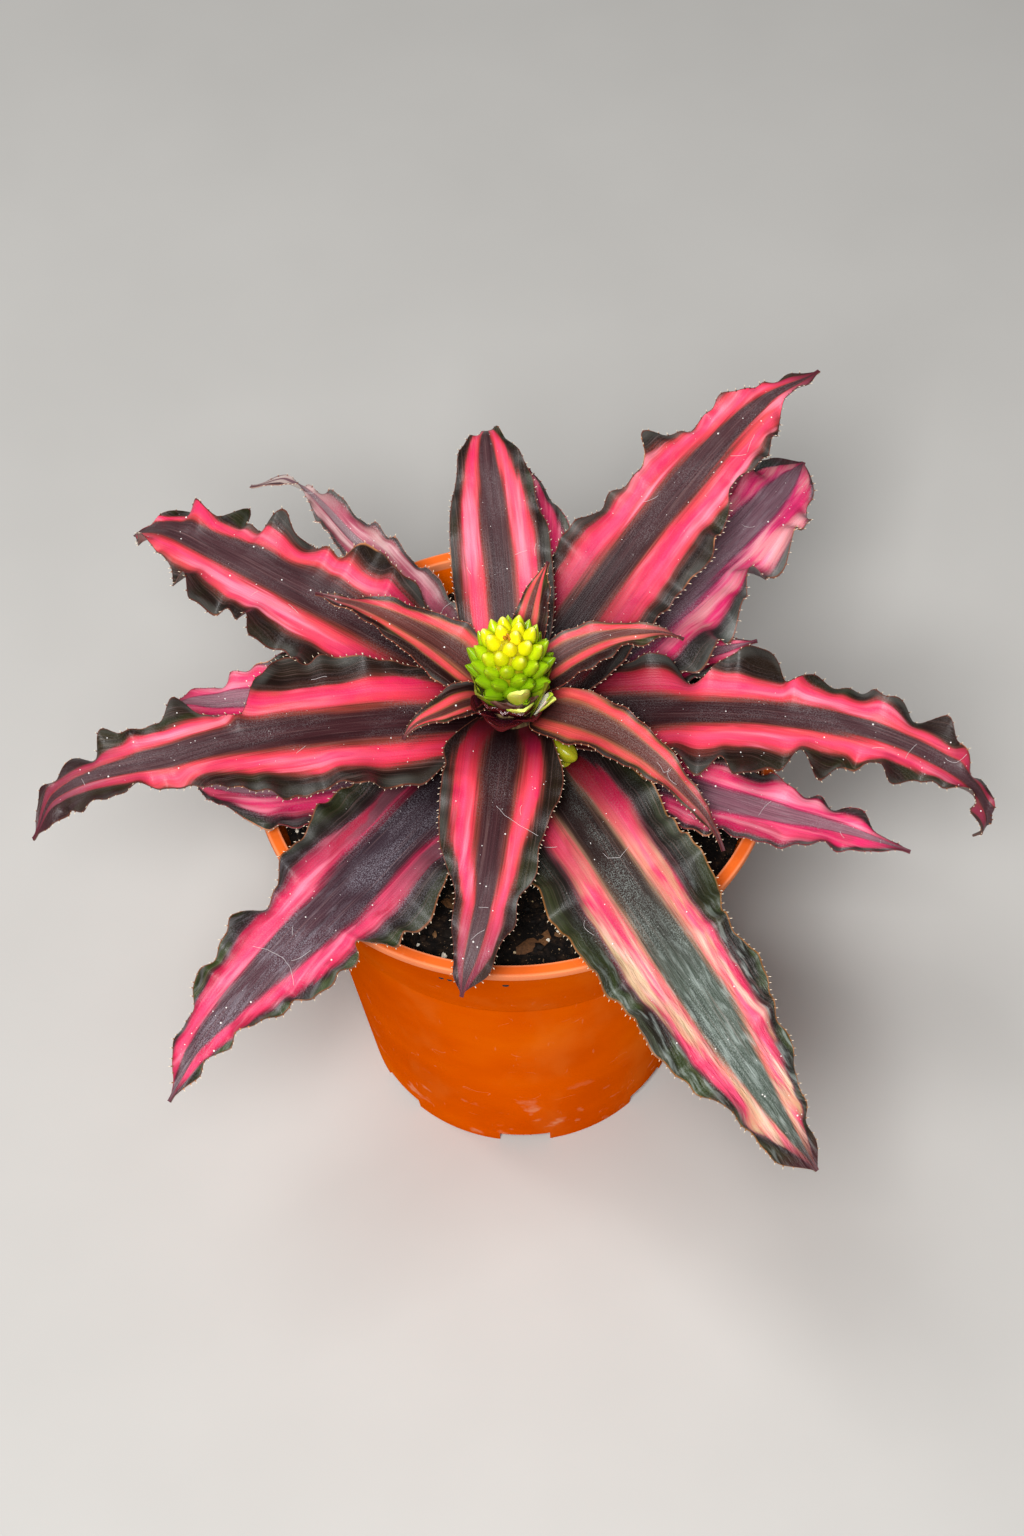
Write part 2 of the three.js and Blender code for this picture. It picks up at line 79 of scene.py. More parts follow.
# The small scales, bracts and petal, a piece for each kind. tissue is what its material is made
# of: name, colours from foot to tip, roughness and wrinkle. A row gives a scale's azimuth, the
# radius and height of its foot, slope in degrees, length, width, cup (how far its margins stand
# up), thickness, how blunt it is (the lower, the squarer its end), and the azimuth that it grows
# towards, where that is another.
SCALE_FACTS = ("azimuth", "radius", "foot", "slope", "length", "width", "cup", "thick", "blunt", "heading")
SCALES = [
    Values(
        piece="lime_bracts", slot="flower_buds", stands_for=(), crumple=0.1,
        tissue=("lime bract", [(0, "#7A9A14"), (0.3, "#B8D428"), (0.8, "#D8E858"), (1, "#E0EC70")],
                0.3, 0.1),
        rows=[(-80, 9.2, 148.8, 74, 7.2, 5.2, 1, 0.9, 0.5),
              (-76, 7.9, 143, 62, 4.6, 6.5, 1.4, 0.7, 0.5),
              (-44, 9, 142, 60, 6.6, 3, 0.7, 0.6, 0.6, -20)],
    ),
    Values(
        piece="olive_bracts", slot="flower_buds", stands_for=(), crumple=0.2,
        tissue=("olive bract", [(0, "#3A3A10"), (0.4, "#5E6A14"), (0.8, "#8AA01C"), (1, "#6A6A18")],
                0.3, 0.2),
        rows=[(-57, 8, 141.6, 70, 11, 3.8, 0.9, 0.6, 0.7, 8),
              *[(azimuth, 6.8, 142, 66, 5.6, 8, 1.6, 0.6, 0.6)
                for azimuth in (-150, 170, 130, 90, 50, 10, -25)]],
    ),
    Values(
        piece="dried_bracts", slot="flower_buds", stands_for=(), crumple=0.5,
        tissue=("dried bract", [(0, "#3A2018"), (0.5, "#6A463C"), (0.9, "#7E5A4E"), (1, "#4A2A20")],
                0.5, 0.4),
        rows=[(-84, 7.8, 144.4, 66, 4.8, 11, 2.2, 0.5, 0.4)],
    ),
    Values(
        piece="open_petal", slot="flower_petal", stands_for=["flower_petal"], crumple=0.12,
        tissue=("petal", [(0, "#E8E8B0"), (0.5, "#F6EFDA"), (0.97, "#F4ECD0"), (1, "#A8C030")],
                0.45, 0.1),
        rows=[(-50, 8.6, 141.6, 66, 8.6, 3, 0.7, 0.6, 0.5, -14)],
    ),
    Values(
        piece="maroon_scales", slot="young_scales", stands_for=["young_scales"], crumple=0.3,
        tissue=("young maroon scale", [(0, "#160608"), (0.5, "#300C16"), (1, "#4A1416")], 0.16, 0.5),
        rows=[(-104, 7.4, 139.8, 30, 5, 9.6, 2, 0.9, 0.4),
              (-128, 7, 141.2, 64, 4.6, 8, 1.6, 0.6, 0.5),
              (-102, 7.2, 141.6, 60, 4.2, 7, 1.6, 0.6, 0.5),
              (-78, 7.2, 141.2, 58, 4.4, 8, 1.6, 0.6, 0.5),
              *[(azimuth, 7.2, 139.6, 44, 5, 8, 1.4, 0.6, 0.6) for azimuth in (-142, -64)]],
    ),
]

BLADE = Values(
    foot_radius=7.6,             # where a leaf starts, measured from the stem's axis
    foot_share=0.46,             # width at the foot, as a share of the full width
    hug=8,                       # length over which the foot lets go of the round stem
    root=1.2,                    # how far the foot runs back into the stem
    tip_width=0.9,
    lobe_spread=0.09,            # how far a lobe reaches along the leaf, as a share of it
    curl_from=0.76,              # share of the length after which the tip curls
    middle_thickness=1.2, edge_thickness=0.35, tip_thickness=0.5,
    frill=1.05, frill_pitch=10,  # height and length of the fine waves along a margin
    pucker=0.3, pucker_size=11,  # height and width of the shallow dents all over a blade
    dark_margin=0.3,             # width of the dark margin, as a share of half the blade's
    steps=160,                   # steps of the walk along a leaf's middle line
    row_pitch=0.6,               # distance between rows of faces
    columns=26,
    spine_pitch=1.5, spine_length=0.75, spine_radius=0.22, spine_tip=0.03,
    spine_root=0.1,              # how far a spine is sunk into the margin
    spines=(0.06, 0.97),         # from where to where along a leaf its spines stand
    tiers=(6, 8),                # the numbers of the last young leaf and of the last upper one
    shelter=((6, 15), (8, 28), (15, 50)),    # from where to where, out from the stem, painted shade of the leaves above darkens the feet of the young, the upper and the lower leaves
)                                            # of the young, the upper and the lower leaves run

# Each leaf, from the youngest at the top of the stem to the oldest at its foot.
# azimuth   the way in which the leaf leaves the stem, and sweep the turn it makes by its tip
# foot      height of its foot above the table
# rise      slope at the foot, and droop the slope it has lost by the tip, all in degrees
# arch      1 bends evenly, more bends late; curl is the extra bend towards the tip
# length, width, and fold (how far the margins stand above the middle) in millimetres
# widest    where the blade is widest, as a share of its length; taper, how late it narrows
# left, right  the ruffle of that margin: (height, waves along the leaf, where they start)
# lobes     (place, reach, lift) of each larger lobe, and its spread where it isn't the usual
#           one: place is negative on the right margin
# sway      (start, place, reach) of a sideways bow of the whole blade, to the left
# worn      where along the leaf its colours start to dull towards the tip
# coat      its colouring
# bands     (place along the leaf, then where the stripes' edges cross it, from 1 at the left
#           margin to -1 at the right: left stripe's outer and inner edge, right one's inner
#           and outer edge)
LEAF_FACTS = ("azimuth", "sweep", "foot", "rise", "droop", "arch", "curl", "length", "width",
              "widest", "taper", "fold", "left", "right", "lobes", "sway", "worn", "coat", "bands")
STRAIGHT = (0, 0.5, 0)
PLAIN_BANDS = ((0.5, 0.76, 0.34, -0.34, -0.76),)
LEAF_ROWS = [
    (68, -13, 141.2, 50, -6, 1, 0, 25, 8, 0.35, 2.2, 1.8, (0.3, 3, 0), (0.4, 3, 0.4), (),
     STRAIGHT, 0.9, "young",
     ((0.5, 0.78, 0.42, 0.05, -0.38), (0.9, 0.85, 0.52, 0.2, -0.15))),
    (195, 57, 139.8, 28, 40, 1, 0, 22, 9, 0.25, 1.4, 2.6, (0.3, 3, 0), (0.3, 3, 0.3), (),
     (0, 0.5, 2.2), 0.7, "young",
     ((0.2, 0.62, 0.3, -0.2, -0.6), (0.7, 0.7, 0.3, -0.25, -0.7))),
    (30, -60, 138.6, 28, 40, 1.2, 0, 36, 12, 0.25, 1.5, 2.4, (0.6, 3, 0), (0.9, 3, 0.5), (),
     (0, 0.7, -1.7), 0.66, "young",
     ((0.25, 0.92, 0.66, -0.08, -0.44), (0.5, 0.94, 0.58, 0.02, -0.42), (0.75, 0.92, 0.5, 0, -0.48))),
    (143, 37, 137.4, 24, 12, 1.2, 0, 44, 16, 0.2, 1.4, 2.2, (0.6, 3, 0), (0.8, 3, 0.4), (),
     (0, 0.85, 1.2), 0.62, "young",
     ((0.2, 0.5, 0.25, -0.58, -0.9), (0.45, 0.6, 0.26, -0.45, -0.78), (0.7, 0.6, 0.22, -0.42, -0.78))),
    (-28, -44, 136.4, 20, 62, 1.3, 0, 56, 15, 0.18, 1.3, 2.4, (0.6, 4, 0), (1, 3, 0.3), (),
     (0, 0.65, -2), 0.55, "young",
     ((0.1, 0.98, 0.66, -0.32, -0.85), (0.3, 0.9, 0.54, -0.28, -0.82), (0.5, 0.9, 0.5, -0.32, -0.78))),
    (91, 6, 135, 32, 28, 1.2, 60, 67, 23, 0.4, 2.2, 1.8, (1.2, 4, 0), (1, 4, 0.4),
     ((-0.6, -1, 0), (0.8, 1, 0)),
     (0, 0.7, 0.6), 0.92, "coral",
     ((0.25, 0.78, 0.38, -0.27, -0.72), (0.7, 0.78, 0.36, -0.24, -0.7), (0.88, 0.88, 0.48, -0.1, -0.6))),
    (-97, -13, 135, 14, 38, 1.2, 20, 68, 27, 0.3, 2, 1.6, (0.7, 4, 0), (0.8, 4, 0.4),
     ((-0.1, 2.4, 0), (0.45, -3, 0, 0.22), (0.66, -2.6, 0, 0.1), (-0.66, -2.2, 0, 0.16),
      (0.91, 2.2, 0, 0.08), (-0.93, 1, 0, 0.07)),
     (0, 0.72, 0.9), 0.58, "coral",
     ((0.1, 0.67, 0.37, -0.5, -0.92), (0.3, 0.61, 0.26, -0.38, -0.76), (0.5, 0.5, 0.21, -0.38, -0.78),
      (0.7, 0.5, 0.18, -0.28, -0.55), (0.9, 1.05, 0.38, -0.43, -0.88))),
    (189, 13, 133, 14, 40, 1.5, 20, 108, 30, 0.28, 1.7, 2.2, (3, 4, 0.1), (2.4, 4, 0.4),
     ((0.16, 5, 0), (0.27, 6.5, 0, 0.1), (0.4, 3, -1), (0.46, 3.5, 0, 0.05), (0.54, 3.5, 0),
      (0.65, -4, 0, 0.07), (0.71, -3, 0, 0.04), (0.8, 2.5, 0, 0.07), (0.86, 4.5, 0, 0.05),
      (0.93, 3, 0, 0.06), (-0.3, 3.5, 0), (-0.385, 5.5, 0, 0.06), (-0.5, -8, 0, 0.06),
      (-0.56, -2, 0, 0.04), (-0.615, 4.5, 0, 0.045), (-0.76, 3.5, 0, 0.045), (-0.85, 4, 0, 0.045),
      (-0.94, 1.5, 0, 0.05)),
     (0.64, 0.91, -4.6), 0.62, "coral",
     ((0.12, 0.9, 0.45, -0.34, -0.77), (0.3, 0.92, 0.44, -0.32, -0.74), (0.5, 0.8, 0.34, -0.4, -0.8),
      (0.7, 0.66, 0.22, -0.46, -0.84), (0.82, 0.75, 0.22, -0.32, -0.8), (0.93, 0.9, 0.35, -0.3, -0.95))),
    (47, -4, 132.4, 24, 24, 1.3, 0, 103, 30, 0.3, 2.7, 2.2, (2.6, 4, 0), (1.6, 4, 0.4),
     ((-0.45, 3, 0), (-0.64, -4, 0), (-0.71, 1, 0), (-0.88, -2.2, 0), (0.43, -1, 0), (0.53, -4, 0),
      (0.605, 2.5, 1.5, 0.04), (0.67, -1.5, 0, 0.04), (0.74, -2.5, 0, 0.07), (0.84, -2.6, 0, 0.07),
      (0.95, 1, 0, 0.05)),
     (0, 0.85, 3), 0.86, "coral",
     ((0.2, 0.86, 0.44, -0.2, -0.7), (0.5, 0.8, 0.36, -0.27, -0.76), (0.65, 0.8, 0.38, -0.25, -0.84),
      (0.85, 0.9, 0.3, -0.2, -0.85))),
    (-4, -54, 130.4, 10, 20, 1.5, 110, 119, 27, 0.3, 1.35, 2, (3.4, 7, -0.13), (3, 7, 0.5),
     ((0.29, -6, 0, 0.06), (0.4, 6, 0, 0.05), (0.46, -4.5, 0, 0.04), (0.58, 2.5, 0, 0.04),
      (0.66, 2.5, 0, 0.04), (0.73, 5, 0, 0.06), (0.85, 2, 0, 0.03), (0.92, -3.5, 0, 0.05),
      (-0.3, 3.5, 0, 0.06), (-0.4, 8.5, 0, 0.06), (-0.46, 3, 0, 0.04), (-0.56, 7, 0, 0.055),
      (-0.7, 5, 0, 0.045), (-0.86, -2, 0, 0.05)),
     STRAIGHT, 0.63, "coral",
     ((0.15, 0.84, 0.45, -0.48, -0.95), (0.3, 0.66, 0.26, -0.36, -0.9), (0.5, 0.7, 0.35, -0.34, -0.88),
      (0.65, 0.92, 0.45, -0.18, -0.84), (0.8, 1, 0.7, -0.2, -0.7))),
    (149, -11, 129.4, 11, 19, 1.3, 40, 102, 29, 0.35, 3.4, 2, (2.8, 6, 0), (3.6, 6, 0.4),
     ((0.38, 2, 0), (0.45, -3, 0), (0.52, 2, 0), (0.545, -3, 3, 0.035), (0.6, -3.5, 0), (0.72, 2, 0),
      (0.715, -3.5, 3, 0.035), (0.8, -3.5, 0), (0.87, -2, 0, 0.06), (-0.28, 4, 0, 0.07),
      (-0.39, 6, 6.5, 0.085), (-0.572, 3, 1.2, 0.05), (-0.63, 3.5, 0, 0.04), (-0.75, 6, 0, 0.035),
      (-0.8, -1.5, 0, 0.04), (-0.89, 5.5, 0, 0.05)),
     STRAIGHT, 0.96, "coral",
     ((0.3, 0.56, 0.06, -0.7, -1), (0.45, 0.5, 0.12, -0.74, -1), (0.65, 0.55, 0.03, -0.62, -0.95),
      (0.8, 0.6, 0.08, -0.56, -0.88), (0.92, 0.9, 0.1, -0.9, -1.2))),
    (-65, 14, 128.7, 10, 40, 1.3, 0, 121, 36, 0.3, 2.7, 1.6, (1.8, 6, 0), (2.4, 6, 0.4),
     ((0.45, 1, 0), (0.53, -2.5, 0), (0.64, 1, 0), (0.72, -1, 0, 0.06), (0.79, 1.5, 0, 0.07),
      (-0.58, -1.2, 0, 0.06), (-0.67, 1.8, 0, 0.07), (-0.78, 1.5, 0), (-0.94, 4, 0, 0.07),
      (0.96, 1.6, 0, 0.05)),
     STRAIGHT, 0.88, "flamed",
     ((0.15, 0.64, 0.24, -0.28, -0.6), (0.3, 0.62, 0.29, -0.23, -0.56), (0.5, 0.7, 0.35, -0.23, -0.64),
      (0.65, 0.75, 0.4, -0.27, -0.7), (0.8, 0.8, 0.36, -0.3, -0.82), (0.92, 0.85, 0.3, -0.34, -1))),
    (81, 12, 127.5, 18, 14, 1.2, 0, 59, 26, 0.35, 2.2, 1.6, (1.4, 4, 0), (1.4, 4, 0.4), (),
     STRAIGHT, 0.9, "old", PLAIN_BANDS),
    (-135, 10, 127, 8, 34, 1.3, 0, 111, 32, 0.3, 2.2, 1.6, (2.4, 4, 0), (2.2, 4, 0.4),
     ((-0.34, 2.5, 0, 0.08), (-0.46, -0.8, 0), (-0.56, -3.2, 0), (-0.62, 2.2, 0, 0.05),
      (-0.78, 2.5, 0, 0.05), (-0.88, 2.8, 0, 0.08), (0.35, 3.2, 0, 0.1), (0.43, 3.6, 0),
      (0.495, 3.5, 0, 0.05), (0.535, -2, 1.5, 0.02), (0.575, 2.6, 0, 0.04), (0.63, 2.8, 0, 0.06),
      (0.695, -1.5, 1, 0.025), (0.82, -2.2, 0, 0.035), (0.885, -2, 0, 0.04)),
     (0, 0.42, 2.5), 0.93, "scurfy",
     ((0.3, 0.78, 0.54, -0.38, -0.56), (0.4, 0.85, 0.54, -0.4, -0.7), (0.5, 0.91, 0.6, -0.28, -0.69),
      (0.6, 1, 0.51, -0.34, -0.77), (0.7, 0.78, 0.43, -0.35, -0.75), (0.8, 0.84, 0.35, -0.42, -1),
      (0.9, 0.5, -0.1, -0.7, -1.5))),
    (39, 22, 125.8, 6, 14, 1.3, 0, 97, 28, 0.4, 5, 1.8, (2, 5, 0), (3, 5, 0.4),
     ((-0.36, 6, 0, 0.1), (-0.46, 2.5, 0, 0.07), (-0.585, -3.5, 3, 0.05), (-0.65, -2.5, -1, 0.05),
      (-0.76, -2, 0), (-0.87, -2, 0, 0.05), (0.86, -1.2, 0, 0.05), (0.935, 4.5, 0, 0.06),
      (0.975, 2.4, 0, 0.03)),
     STRAIGHT, 0.97, "marbled",
     ((0.3, 0.8, 0.35, -0.53, -0.87), (0.47, 0.8, 0.35, -0.37, -0.88), (0.6, 0.8, 0.36, -0.24, -0.68),
      (0.8, 0.86, 0.39, -0.26, -0.86), (0.92, 1.1, 0.42, -0.26, -0.9))),
    (121, 27, 125.3, 12.5, 28, 1.2, 0, 90, 13, 0.3, 2.2, 2, (1, 5, 0), (1, 5, 0.4),
     ((0.85, -1.4, 0), (-0.85, -1.2, 0)),
     (0.6, 0.92, -5), 0.66, "faded",
     ((0.5, 0.8, 0.2, -0.2, -0.85),)),
    (198, -53, 124.4, 7.5, 32, 1.2, 0, 71, 30, 0.4, 2.2, 1.6, (1.4, 4, 0), (1.4, 4, 0.4), (),
     STRAIGHT, 0.9, "old", PLAIN_BANDS),
    (-23, 2, 123.8, 7, 16, 1.2, 0, 87, 22, 0.35, 2.2, 1.6, (2.2, 5, 0), (1.8, 5, 0.4),
     ((0.65, -2.5, 0),),
     (0, 0.6, -2), 0.86, "old",
     ((0.5, 0.68, 0.23, -0.44, -0.9), (0.62, 0.77, 0.28, -0.31, -0.9), (0.75, 0.84, 0.3, -0.2, -0.85),
      (0.9, 0.72, 0.3, -0.15, -0.75))),
    (29, -27, 122.4, 4, 10, 1.2, -30, 55, 18, 0.4, 2.2, 1.6, (1, 4, 0), (1, 4, 0.4), (),
     STRAIGHT, 0.9, "old", PLAIN_BANDS),
    (159, 20, 121.4, 3.5, 34, 1.7, 0, 78, 19, 0.4, 3, 1.6, (1.6, 4, 0), (1.6, 4, 0.4),
     ((-0.6, 3.5, 0),),
     (0, 0.8, 3), 0.85, "old",
     ((0.5, 0.85, 0.4, -0.2, -0.8), (0.8, 0.9, 0.35, -0.45, -1))),
]
LEAVES = [Values(number=n, **dict(zip(LEAF_FACTS, row))) for n, row in enumerate(LEAF_ROWS, 1)]

# The colouring of a blade. stops run over its bands: 0 is the middle of the dark centre, STRIPE
# gives the edges of a stripe, and 1 is the margin. The rest is the colour and the amount of what
# lies over them: outer_middle on the dark centre, away from the stem; foot on the stripes, up to
# its third number along the leaf; worn on the stripes of a dull tip; pale, deep and flame in
# patches of the stripes, and green in patches of the margin; scurf mostly on the dark bands; rim
# on the very edge; underside below. A further number gives the amount of a painted grey sheen
# inside the rim, which stands in for reflected light, and wrinkle is creases.
STRIPE = (0.36, 0.71)
COATS = Values(
    young=Values(
        stops=[(0, "#5A302C"), (0.18, "#502824"), (0.26, "#66382C"), (0.33, "#96563C"), (0.40, "#CE4846"),
               (0.52, "#EA505A"), (0.62, "#D43C48"), (0.69, "#86502E"), (0.75, "#3C221C"),
               (0.85, "#20100E"), (1, "#2E1614")],
        outer_middle="#683632", foot=("#CC5C40", 0.45, 0.36), worn=("#5E2430", 0.8), pale=("#FFA494", 0.5),
        deep=("#B81A3C", 0.4), flame=("#A87C40", 0.2), green=("#3E4A20", 0.5), scurf=("#9E8E88", 0.3),
        rim="#84402E", underside="#75655A", sheen=0.2, wrinkle=0.15,
    ),
    coral=Values(
        stops=[(0, "#3E2024"), (0.16, "#34191C"), (0.24, "#441F20"), (0.31, "#7A342A"), (0.37, "#BE343E"),
               (0.43, "#EA4456"), (0.52, "#F24A70"), (0.60, "#EA3E5E"), (0.66, "#CC3646"),
               (0.71, "#742F28"), (0.77, "#3C221C"), (0.84, "#1E1410"), (1, "#261C14")],
        outer_middle="#4A3034", foot=("#C0142E", 0.6, 0.36), worn=("#68283C", 0.75), pale=("#FF9CB2", 0.55),
        deep=("#D20A54", 0.5), flame=("#C07C50", 0.12), green=("#2C3618", 0.5), scurf=("#8C8486", 0.3),
        rim="#5E3226", underside="#70605A", sheen=0.2, wrinkle=0.15,
    ),
    flamed=Values(
        stops=[(0, "#302220"), (0.2, "#2E201E"), (0.28, "#46322A"), (0.34, "#8C6650"), (0.395, "#DC6C68"),
               (0.50, "#EE5478"), (0.61, "#D4345A"), (0.69, "#803240"), (0.73, "#402628"),
               (0.80, "#1E1A18"), (0.92, "#24241A"), (1, "#30341E")],
        outer_middle="#4E5A50", foot=("#C01026", 0.9, 0.36), worn=("#8A5C50", 0.8), pale=("#F0D0B4", 0.7),
        deep=("#C8184C", 0.6), flame=("#B4A874", 0.6), green=("#38481C", 0.6), scurf=("#A4AEA8", 0.4),
        rim="#8A5A30", underside="#7C7C66", sheen=0.16, wrinkle=1,
    ),
    scurfy=Values(
        stops=[(0, "#382A32"), (0.2, "#32242C"), (0.28, "#3E2028"), (0.34, "#841E38"), (0.39, "#D0305A"),
               (0.50, "#E43C68"), (0.61, "#CC2050"), (0.69, "#7E1E34"), (0.73, "#3C2226"),
               (0.80, "#241C1A"), (0.92, "#201E18"), (1, "#2A2E1A")],
        outer_middle="#4C2C34", foot=("#6A3C46", 1, 0.56), worn=("#782840", 0.7), pale=("#FF98B0", 0.45),
        deep=("#A80C38", 0.7), flame=("#A86A4C", 0.06), green=("#3A4820", 0.8), scurf=("#98929C", 0.45),
        rim="#7A4A30", underside="#6C6C66", sheen=0.12, wrinkle=0.5,
    ),
    marbled=Values(
        stops=[(0, "#6A4C58"), (0.2, "#5C424C"), (0.28, "#6A3A50"), (0.34, "#962C54"), (0.39, "#D83C74"),
               (0.52, "#EA3474"), (0.62, "#D42860"), (0.70, "#9A2C48"), (0.745, "#482830"),
               (0.82, "#2A2624"), (1, "#32302A")],
        outer_middle="#7E5C68", foot=("#A01030", 0.5, 0.36), worn=("#B03C58", 0.5), pale=("#FFA8BC", 0.55),
        deep=("#E01468", 0.45), flame=("#E8BCB0", 0.45), green=("#34403A", 0.5), scurf=("#B0A8B0", 0.4),
        rim="#7A4A38", underside="#75686C", sheen=0.4, wrinkle=0.4,
    ),
    faded=Values(
        stops=[(0, "#745A60"), (0.2, "#6A5256"), (0.28, "#7A5258"), (0.34, "#96505E"), (0.39, "#B05468"),
               (0.52, "#AC4C62"), (0.62, "#9A3E54"), (0.70, "#74383E"), (0.745, "#4C3C40"),
               (0.82, "#3A3430"), (1, "#443E38")],
        outer_middle="#8A6E74", foot=("#6A1830", 0.7, 0.36), worn=("#DCD0C4", 0.9), pale=("#E8C4C4", 0.7),
        deep=("#8A2040", 0.5), flame=("#C0A094", 0.3), green=("#3E4438", 0.5), scurf=("#B8B0B0", 0.6),
        rim="#8A5A50", underside="#C8BEB4", sheen=0.4, wrinkle=0.3,
    ),
    old=Values(
        stops=[(0, "#583644"), (0.2, "#4C2E3A"), (0.28, "#5E2A3E"), (0.34, "#A0264E"), (0.39, "#DC2864"),
               (0.52, "#E22A66"), (0.62, "#D01C56"), (0.70, "#8E1438"), (0.745, "#441C26"),
               (0.82, "#261C1C"), (1, "#2E2620")],
        outer_middle="#92606E", foot=("#8A0C30", 0.7, 0.36), worn=("#7A4048", 0.6), pale=("#F8A0B4", 0.5),
        deep=("#A80644", 0.6), flame=("#E0A48C", 0.1), green=("#34402A", 0.5), scurf=("#ACA0A4", 0.4),
        rim="#7A2C30", underside="#75686C", sheen=0.3, wrinkle=0.3,
    ),
)

# ---------------------------------------------------------------- helpers


def mix(a, b, share):
    return a + (b - a) * share


def smooth(low, high, x):
    share = min(max((x - low) / (high - low), 0), 1)
    return share * share * (3 - 2 * share)


def around(radius, azimuth, z):
    turn = math.radians(azimuth)
    return Vector((radius * math.cos(turn), radius * math.sin(turn), z))


def pointing(azimuth, slope):
    """The way towards an azimuth and up a slope, both in degrees."""
    return around(math.cos(math.radians(slope)), azimuth, math.sin(math.radians(slope)))


def seeded_random(seed):
    """The draws that the solids were made with, so that each bud stands where its solid does."""
    state = seed

    def draw():
        nonlocal state
        state = (state * 1664525 + 1013904223) % 2 ** 32
        return state / 2 ** 32

    return draw


def linear(hex_colour):
    """An sRGB hex colour as linear red, green, blue and alpha."""
    shares = [int(hex_colour[i:i + 2], 16) / 255 for i in (1, 3, 5)]
    return (*[c / 12.92 if c <= 0.04045 else ((c + 0.055) / 1.055) ** 2.4 for c in shares], 1)


def plug(tree, node, inputs):
    """Fills a node's inputs. Each takes a number, a hex colour, a socket or a node's first output."""
    for name, value in inputs.items():
        socket = node.inputs[name] if isinstance(name, int) else next(
            s for s in node.inputs if s.enabled and s.name == name)
        if isinstance(value, bpy.types.Node):
            value = next(out for out in value.outputs if out.enabled)
        if isinstance(value, bpy.types.NodeSocket):
            tree.links.new(value, socket)
        else:
            socket.default_value = linear(value) if isinstance(value, str) else value


def add(tree, kind, inputs=(), stops=(), **settings):
    """Adds a node with its settings, its inputs and, for a colour ramp, its stops."""
    made = tree.nodes.new(kind)
    for setting, value in settings.items():
        setattr(made, setting, value)
    plug(tree, made, dict(inputs))
    if stops:
        points = made.color_ramp.elements
        points.remove(points[1])
        points[0].position = stops[0][0]
        points[0].color = linear(stops[0][1])
        for place, colour in stops[1:]:
            points.new(place).color = linear(colour)
    return made


def new_material(name, attribute=None):
    """A material, its nodes, and its patterns' coordinates: the object's or an attribute of the mesh."""
    material = bpy.data.materials.new(name)
    material.use_nodes = True
    tree = material.node_tree
    if attribute:
        place = add(tree, "ShaderNodeAttribute", attribute_name=attribute)
    else:
        place = add(tree, "ShaderNodeTexCoord").outputs["Object"]
    return material, tree, place


def shaded(material, inputs):
    """The material, once the inputs of its shader are filled."""
    tree = material.node_tree
    plug(tree, tree.nodes["Principled BSDF"], inputs)
    return material


def parts(tree, attribute):
    """The three numbers that each vertex holds in an attribute of the mesh."""
    held = add(tree, "ShaderNodeAttribute", attribute_name=attribute)
    return add(tree, "ShaderNodeSeparateXYZ", {"Vector": held}).outputs


def grain(tree, place, size, seed, detail=3):
    """Noise whose lumps measure `size`, three lengths in millimetres, in the coordinates `place`.
    Along an axis whose length is 0 it doesn't change."""
    scaled = add(tree, "ShaderNodeMapping", {
        "Vector": place, "Location": (seed, seed * 1.7, seed * 0.6),
        "Scale": [1 / (length * MM) if length else 1 for length in size],
    })
    return add(tree, "ShaderNodeTexNoise", {"Vector": scaled, "Scale": 1, "Detail": detail})


def between(tree, value, low, high):
    """0 where value is under low, 1 where it is over high, and smooth in between."""
    return add(tree, "ShaderNodeMapRange", {"Value": value, "From Min": low, "From Max": high},
               interpolation_type="SMOOTHSTEP")


def patches(tree, place, size, low, high, seed, detail=3):
    """A mask of patches, where a grain lies over low, and whole where it is over high."""
    return between(tree, grain(tree, place, size, seed, detail), low, high)


def product(tree, *factors):
    """Several masks and numbers multiplied."""
    result = factors[0]
    for factor in factors[1:]:
        result = add(tree, "ShaderNodeMath", {0: result, 1: factor}, operation="MULTIPLY")
    return result


def layered(tree, colour, layers):
    """colour with other colours laid over it in turn, each by its masks and numbers multiplied."""
    for over, *shares in layers:
        share = product(tree, *shares)
        colour = add(tree, "ShaderNodeMix", {"Factor": share, "A": colour, "B": over}, data_type="RGBA")
    return colour


def mesh_data(name, mesh):
    data = bpy.data.meshes.new(name)
    mesh.to_mesh(data)
    mesh.free()
    return data


def placed(name, data):
    """A new object of this data, in the scene."""
    thing = bpy.data.objects.new(name, data)
    bpy.context.scene.collection.objects.link(thing)
    return thing


def finished(name, mesh, material, stands_for=(), crease=50):
    """Makes a shaded piece of a mesh in millimetres. It rides with the plant and stands for its solids."""
    bmesh.ops.scale(mesh, vec=(MM, MM, MM), verts=mesh.verts)
    for face in mesh.faces:
        face.smooth = True
    data = mesh_data(name, mesh)
    data.set_sharp_from_angle(angle=math.radians(crease))
    data.materials.append(material)
    piece = placed(name, data)
    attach(piece, "root")
    if stands_for:
        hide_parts(*stands_for)
    return piece


# ---------------------------------------------------------------- materials


